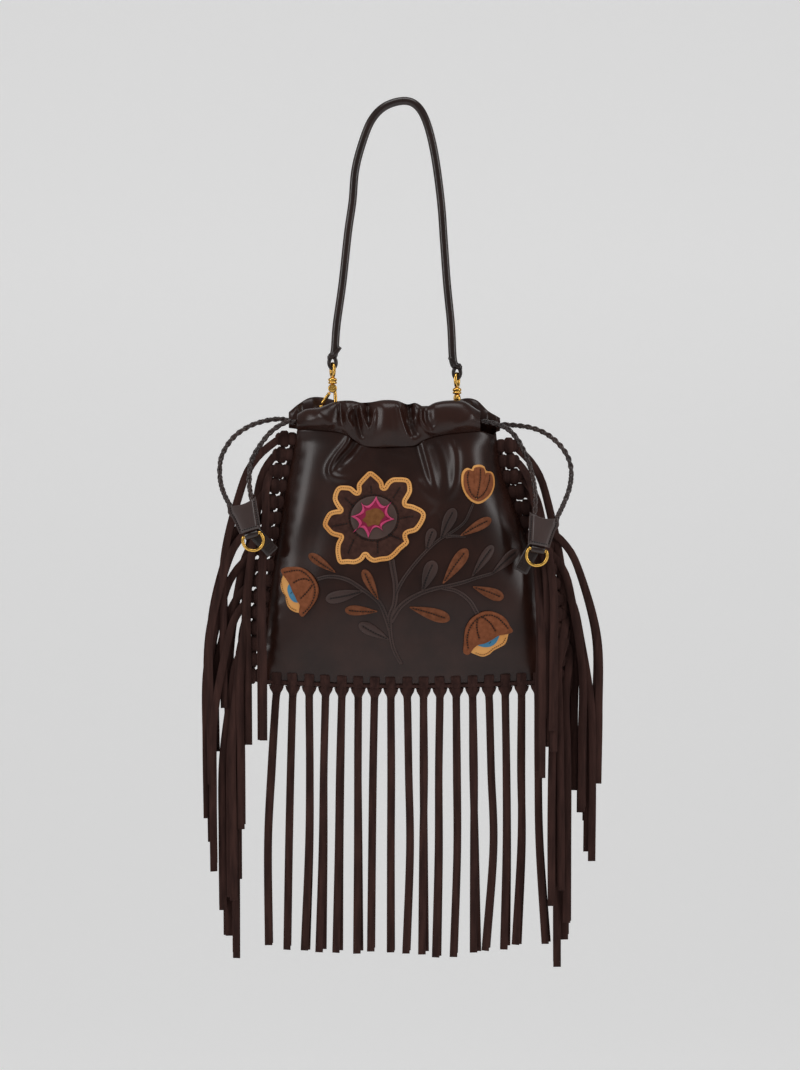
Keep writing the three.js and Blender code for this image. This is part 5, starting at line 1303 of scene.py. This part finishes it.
def starOutline(tips, valleys):
    points = []
    for i, tip in enumerate(tips):
        a, b, v = np.array(tip), np.array(tips[(i + 1) % len(tips)]), np.array(valleys[i])
        bend = 2 * v - (a + b) / 2
        for t in np.arange(10) / 10:
            points.append(a * (1 - t) ** 2 + 2 * bend * t * (1 - t) + b * t * t)
    return np.array(points)


def oval(centre, half, count):
    turn = np.arange(count) * 2 * math.pi / count
    return np.column_stack([centre[0] + half[0] * np.cos(turn), centre[1] + half[1] * np.sin(turn)])


def makeRosette():
    centre = rosette["centre"]
    edge = smoothLine(rosette["border"], 330, closed=True)
    folds = [(smoothLine(line, 10), 0.7, 0.8) for line in rosette["folds"]]
    ring = oval(centre, rosette["stitchHalf"], 90)
    petals = Shape()
    grooves = folds + [(np.vstack([ring, ring[:1]]), 0.8, 0.9)]
    plate(petals, edge[::2], low=0.2, thick=1.1, puff=0.7, grooves=grooves)
    petals.place("flower_petals", "petal", ["rosette_petals"])
    border = Shape()
    seamBand(border, edge, trim["border"], 0.9, 1.5, True)
    border.place("flower_border", "tan", ["rosette_border"])
    sew(lightThreads, edge, 2.35, 2.0, (1.0, 0.85, 0.8), True)
    for line in rosette["folds"]:
        sew(darkThreads, smoothLine(line, 10), 1.85, 2.4, (1.6, 1.0, 1.0))
    sew(darkThreads, ring, 1.85, 2.5, (1.6, 1.1, 1.1), True)
    disc = Shape()
    plate(disc, oval(centre, rosette["half"], 80), low=0.4, thick=1.6, puff=0.8)
    disc.place("flower_disc", "disc", ["rosette_disc"])
    star = Shape()
    outline = starOutline(rosette["tips"], rosette["valleys"])
    inner = scaled(outline, centre, 0.8)
    plate(star, outline, [inner], low=2.5, thick=1.5, soft=0.9, puff=0.2, cell=0.9)
    # the inner star plate is painted shade: the same pink, darkened where the raised ribbon would
    # shade it
    shadedPinkFrom = len(star.faces)
    plate(star, scaled(outline, centre, 0.83), low=2.4, thick=1.0, soft=0.5, puff=0, cell=0.9)
    star.place("flower_star", "pink", ["rosette_star"], second=("shadedPink", shadedPinkFrom))
    core = Shape()
    plate(core, smoothLine(rosette["core"], 60, closed=True), low=2.9, thick=0.8, puff=0.3)
    core.place("flower_core", "core", ["rosette_eye"])


bud = {
    "centre": (65.5, -342), "rim": 0.875,
    "outline": [
        (66.7, -324.3), (70.8, -325.7), (72.9, -329.8), (77.5, -330.7), (80.0, -335.1),
        (80.3, -343.2), (77.5, -351.0), (72.3, -356.5), (66.0, -359.3), (59.8, -357.0),
        (54.5, -351.0), (51.3, -343.2), (50.8, -335.3), (52.3, -330.1), (56.0, -327.3),
        (60.0, -328.3), (62.0, -325.3),
    ],
    "seams": [
        [(57.0, -330.8), (56.0, -336.3), (57.3, -344.4), (59.8, -350.7), (63.8, -354.4)],
        [(66.8, -328.4), (66.8, -336.3), (65.8, -345.0), (64.0, -354.4)],
        [(75.0, -333.8), (74.5, -339.4), (71.7, -347.5), (67.9, -352.5), (64.0, -354.4)],
    ],
    "notches": [[(61.2, -327.5), (61.8, -340.7)], [(72.2, -330.8), (69.6, -341.9)]],
}


def makeBud():
    outline = smoothLine(bud["outline"], 120, closed=True)
    border, petals = Shape(), Shape()
    plate(border, outline, low=0.2, thick=1.3, soft=0.7, puff=0.0)
    border.place("bud_border", "tan", ["tulip_border"])
    seams = [smoothLine(line, 20) for line in bud["seams"]]
    grooves = [(line, 0.7, 0.8) for line in seams]
    grooves += [(smoothLine(line, 10), 1.3, 0.55) for line in bud["notches"]]
    plate(petals, scaled(outline, bud["centre"], bud["rim"]), low=1.0, thick=1.4, puff=0.7,
          grooves=grooves, cell=0.9)
    petals.place("bud_petals", "bell", ["tulip_petals"])
    for line in seams:
        sew(darkThreads, line, 2.85, 2.2, (1.5, 1.0, 0.9))


bells = {
    "left": {
        "cap": [
            (-109.1, -418.7), (-105.6, -416.4), (-98.4, -415.5), (-91.1, -416.4), (-84.7, -420.1),
            (-80.2, -425.1), (-77.0, -431.4), (-76.1, -436.9), (-77.5, -443.2), (-81.1, -449.6),
            (-85.6, -455.0), (-90.2, -459.8), (-93.2, -456.4), (-92.5, -449.6), (-94.9, -446.0),
            (-96.5, -442.3), (-99.3, -436.9), (-102.0, -430.5), (-105.6, -425.1),
            (-108.2, -421.9),
        ],
        "lip": [
            (-106.4, -421.8), (-109.3, -426.9), (-110.2, -432.3), (-108.8, -437.8),
            (-106.1, -441.9), (-105.2, -446.9), (-103.4, -451.4), (-99.3, -455.0),
            (-92.0, -456.4), (-90.5, -449.6), (-93.5, -441.3), (-99.0, -429.5),
        ],
        "eye": [
            (-101.4, -430.0), (-103.8, -435.1), (-102.4, -441.4), (-99.7, -445.5),
            (-96.5, -447.3), (-92.8, -446.4), (-94.5, -441.3), (-97.3, -436.8), (-99.5, -432.2),
        ],
        "seam": [(-109.2, -428.5), (-108.4, -433.5), (-107.0, -439.0), (-104.6, -443.0),
                 (-103.4, -448.2), (-100.2, -452.2), (-95.5, -454.4)],
        "pip": (-99.9, -438.8),
        "hem": [
            (-106.1, -421.0), (-100.2, -419.6), (-92.5, -418.7), (-86.5, -421.9),
            (-82.9, -425.5), (-79.3, -431.0), (-78.4, -436.9), (-79.3, -442.3), (-82.0, -448.7),
            (-85.6, -453.7), (-89.7, -456.9),
        ],
        "ribs": [[(-97.9, -430.1), (-92.9, -427.3), (-87.5, -426.2), (-82.9, -427.8)],
                 [(-91.5, -444.0), (-87.5, -440.1), (-83.8, -436.0), (-80.4, -431.4)]],
    },
    "right": {
        "cap": [
            (53.0, -491.5), (53.3, -484.0), (53.6, -477.5), (54.8, -470.0), (58.5, -463.1),
            (64.2, -458.1), (71.0, -455.2), (78.5, -455.2), (86.0, -458.1), (91.0, -462.5),
            (94.2, -468.1), (96.7, -472.9), (91.7, -475.2), (84.2, -476.5), (78.5, -480.0),
            (72.3, -483.1), (66.0, -484.7), (62.0, -487.5), (57.8, -493.0),
        ],
        "lip": [
            (58.5, -490.6), (64.8, -494.0), (70.4, -495.6), (76.0, -493.7), (80.4, -490.0),
            (85.4, -487.5), (90.4, -484.3), (92.5, -478.7), (92.5, -473.7), (84.2, -474.5),
            (72.3, -480.1), (61.0, -485.5),
        ],
        "eye": [(64.0, -484.0), (66.0, -485.3), (71.0, -486.8), (77.3, -486.2), (82.3, -482.5),
                (84.9, -475.5), (78.5, -477.3), (72.3, -480.5)],
        "seam": [(63.4, -491.6), (69.5, -493.6), (75.0, -492.0), (79.4, -488.2), (84.6, -485.6),
                 (88.8, -482.4), (90.6, -478.2)],
        "pip": (76.4, -482.6),
        "hem": [
            (57.0, -487.5), (55.8, -478.7), (57.9, -470.0), (62.3, -463.1), (67.9, -459.4),
            (75.4, -457.7), (82.3, -460.0), (87.3, -464.4), (92.5, -470.2),
        ],
        "ribs": [[(64.8, -460.6), (64.3, -466.2), (64.8, -472.5), (66.7, -478.5)],
                 [(68.8, -459.4), (72.9, -461.9), (77.3, -466.2), (81.0, -472.2)]],
    },
}


def makeBell(side, rows):
    lip, eye, cap = Shape(), Shape(), Shape()
    plate(lip, smoothLine(rows["lip"], 90, closed=True), low=0.2, thick=1.1, puff=0.3,
          grooves=[(smoothLine(rows["seam"], 20), 0.3, 0.6)], cell=1.0)
    lip.place(f"bell_rim_{side}", "tan", [f"bell_lip_{side}"])
    sew(lightThreads, smoothLine(rows["seam"], 20), 1.75, 1.9, (1.1, 0.8, 0.8))
    plate(eye, smoothLine(rows["eye"], 70, closed=True), low=1.0, thick=1.0, soft=0.5,
          puff=0.4, cell=0.9)
    eye.place(f"bell_heart_{side}", "blue", [f"bell_eye_{side}"])
    pip = np.array(rows["pip"])
    sew(darkThreads, [pip - (0.8, 0.8), pip + (0.8, 0.8)], 2.4, 1.0, (1.0, 0.7, 0.6))
    hem = smoothLine(rows["hem"], 40)
    ribs = [smoothLine(line, 14) for line in rows["ribs"]]
    grooves = [(hem, 0.8, 0.75)] + [(line, 1.0, 0.75) for line in ribs]
    plate(cap, smoothLine(rows["cap"], 150, closed=True), low=1.5, thick=1.5, puff=0.9,
          grooves=grooves, cell=0.9)
    cap.place(f"bell_dome_{side}", "bell", [f"bell_cap_{side}"])
    for line in [hem] + ribs:
        sew(darkThreads, line, 3.6, 2.4, (1.65, 1.1, 0.9))


leafRows = [(0.0, 0.08), (0.12, 0.3), (0.3, 0.62), (0.5, 0.88), (0.7, 1.0), (0.86, 0.86),
            (0.96, 0.5)]
leaves = {
    "light": [
        ((-61.1, -420.3), (-84.7, -404.2), 8.4), ((-23.0, -444.6), (-36.1, -417.8), 9.0),
        ((-23.9, -455.0), (-52.5, -453.7), 8.8), ((5.1, -451.2), (40.8, -461.9), 11.4),
        ((34.6, -430.0), (56.0, -399.4), 11.6), ((50.1, -387.8), (77.3, -372.5), 9.4),
        ((61.3, -433.1), (88.5, -443.1), 10.4),
    ],
    "dark": [
        ((32.3, -391.3), (44.8, -363.4), 11.0), ((19.8, -400.8), (26.0, -381.4), 9.6),
        ((16.1, -436.9), (26.7, -410.0), 12.4), ((60.4, -423.8), (79.2, -396.3), 9.0),
        ((77.3, -422.5), (101.8, -400.0), 9.4), ((-36.3, -437.0), (-69.7, -444.6), 11.0),
        ((-13.4, -480.0), (-40.2, -466.0), 10.6),
    ],
}
stems = [
    {"line": [(-2.4, -502.4), (-8.9, -489.6), (-11.6, -478.7), (-12.5, -468.7), (-12.5, -458.7),
              (-8.9, -449.6), (-7.5, -438.7), (-8.0, -427.8), (-9.6, -418.7), (-11.4, -408.4)],
     "from": 3.0, "to": 5.4},
    {"line": [(-12.4, -472.0), (-16.6, -458.7), (-21.6, -447.8), (-29.3, -440.5), (-38.4, -434.2),
              (-48.4, -427.8), (-58.4, -424.6), (-68.4, -424.2), (-77.6, -426.6)],
     "from": 4.2, "to": 3.4},
    {"line": [(-8.4, -444.0), (-7.0, -438.7), (-1.4, -427.5), (8.6, -413.8), (19.8, -401.3),
              (31.1, -391.3), (43.6, -383.8), (53.6, -375.7), (58.5, -366.3), (61.9, -358.0)],
     "from": 3.4, "to": 2.0},
    {"line": [(-12.2, -464.2), (-2.7, -450.0), (11.1, -440.6), (26.1, -435.0), (41.1, -431.9),
              (53.6, -428.8), (64.8, -425.0), (78.5, -421.3)],
     "from": 4.6, "to": 2.6},
    {"line": [(33.6, -434.0), (44.8, -436.2), (53.6, -441.2), (59.8, -447.5), (65.6, -457.6)],
     "from": 3.2, "to": 4.0},
    {"line": [(37.3, -388.8), (44.6, -388.0), (54.5, -388.8)], "from": 3.0, "to": 1.6},
]


def leafOutline(foot, tip, wide):
    foot, tip = np.array(foot), np.array(tip)
    run = tip - foot
    across = unit(np.array([-run[1], run[0]]))
    left = [foot + run * along + across * half * wide / 2 for along, half in leafRows]
    right = [foot + run * along - across * half * wide / 2 for along, half in leafRows]
    outline = smoothLine(left + [tip] + right[::-1], 64, closed=True)
    vein = np.linspace(foot + run * 0.06, foot + run * 0.88, 16)
    bow = np.sin(np.linspace(0, math.pi, 16))[:, None] * across * wide * 0.05
    return outline, vein + bow


def makeLeaf(shape, row, low):
    outline, vein = leafOutline(*row)
    plate(shape, outline, low=low, thick=1.3, soft=0.7, puff=0.7, grooves=[(vein, 0.9, 0.8)],
          cell=1.0)
    sew(darkThreads, vein, low + 1.6, 2.4, (1.65, 1.1, 0.9))


makeRosette()
makeBud()
for side, rows in bells.items():
    makeBell(side, rows)
for n, row in enumerate(leaves["light"]):
    leafShape = Shape()
    makeLeaf(leafShape, row, 0.5)
    leafShape.place(f"light_leaf_{n + 1}", "leaf", [f"leaf_{n + 1}"])
stalks = Shape()
for stem in stems:
    line = smoothLine(stem["line"], 70)
    seamBand(stalks, line, np.linspace(stem["from"], stem["to"], 70), 0.2, 1.1, dent=0.35)
    sew(darkThreads, line[2:], 1.2, 2.1, (1.4, 0.8, 0.7))
for row in leaves["dark"]:
    makeLeaf(stalks, row, 0.1)
stalks.place("stalks_and_leaves", "stem", ["stem_spray"])
darkThreads.place("dark_stitches", "thread")
lightThreads.place("border_stitches", "brownThread")
print("flower spray made")


# Finishes of the solids that stay as they are, all inside the bag

for name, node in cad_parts.items():
    if name.startswith(("anchor_tab", "cord_")):
        node.data.materials.clear()
        node.data.materials.append(leathers["body" if name.startswith("anchor") else "cord"])


# Floor, backdrop and light

studio = {"glow": 0.35, "floor": -1.3, "reach": 4.6, "wallAway": 4.2, "bend": 1.5, "wallTop": 2.6,
          "halfWide": 5.5, "worldGrey": 0.9, "worldStrength": 0.26}


def makeBackdrop():
    profile = [(-studio["reach"], 0.0), (studio["wallAway"] - studio["bend"], 0.0)]
    for k in range(1, 17):
        turn = math.pi / 2 * k / 16
        profile.append((studio["wallAway"] - studio["bend"] * (1 - math.sin(turn)),
                        studio["bend"] * (1 - math.cos(turn))))
    profile.append((studio["wallAway"], studio["wallTop"] - studio["floor"]))
    points, faces = [], []
    for y, up in profile:
        for x in (-studio["halfWide"], studio["halfWide"]):
            points.append((x, y, studio["floor"] + up))
    for i in range(len(profile) - 1):
        faces.append((2 * i, 2 * i + 1, 2 * i + 3, 2 * i + 2))
    mesh = bpy.data.meshes.new("studioBackdrop")
    mesh.from_pydata(points, [], faces)
    mesh.polygons.foreach_set("use_smooth", [True] * len(faces))
    material, nodes, links, shader = newMaterial("palePaper")
    shader.inputs["Base Color"].default_value = srgb(226, 226, 226)
    shader.inputs["Roughness"].default_value = 0.95
    shader.inputs["Specular IOR Level"].default_value = 0.1
    shader.inputs["Emission Color"].default_value = (1, 1, 1, 1)
    shader.inputs["Emission Strength"].default_value = studio["glow"]
    mesh.materials.append(material)
    backdrop = bpy.data.objects.new("studioBackdrop", mesh)
    bpy.context.scene.collection.objects.link(backdrop)


def addSoftbox(name, location, aim, size, power):
    light = bpy.data.lights.new(name, "AREA")
    light.shape = "RECTANGLE"
    light.size, light.size_y = size
    light.energy = power
    box = bpy.data.objects.new(name, light)
    box.location = location
    direction = Vector(aim) - Vector(location)
    box.rotation_euler = direction.to_track_quat("-Z", "Y").to_euler()
    bpy.context.scene.collection.objects.link(box)


softboxes = {
    "leftBox": {"at": (-1.9, -1.2, 0.35), "aim": (0, 0, -0.4), "size": (0.4, 1.5), "power": 13},
    "rightBox": {"at": (1.9, -1.0, 0.1), "aim": (0, 0, -0.42), "size": (0.4, 1.5), "power": 11},
    "topBox": {"at": (0, -0.6, 1.3), "aim": (0, 0, -0.4), "size": (1.4, 0.8), "power": 11},
}
makeBackdrop()
for name, box in softboxes.items():
    addSoftbox(name, box["at"], box["aim"], box["size"], box["power"])
world = bpy.data.worlds.new("studioWorld")
world.use_nodes = True
sky = world.node_tree.nodes["Background"]
sky.inputs["Color"].default_value = (*[studio["worldGrey"]] * 3, 1)
sky.inputs["Strength"].default_value = studio["worldStrength"]
bpy.context.scene.world = world
bpy.context.scene.view_settings.view_transform = "Standard"
print("studio made")
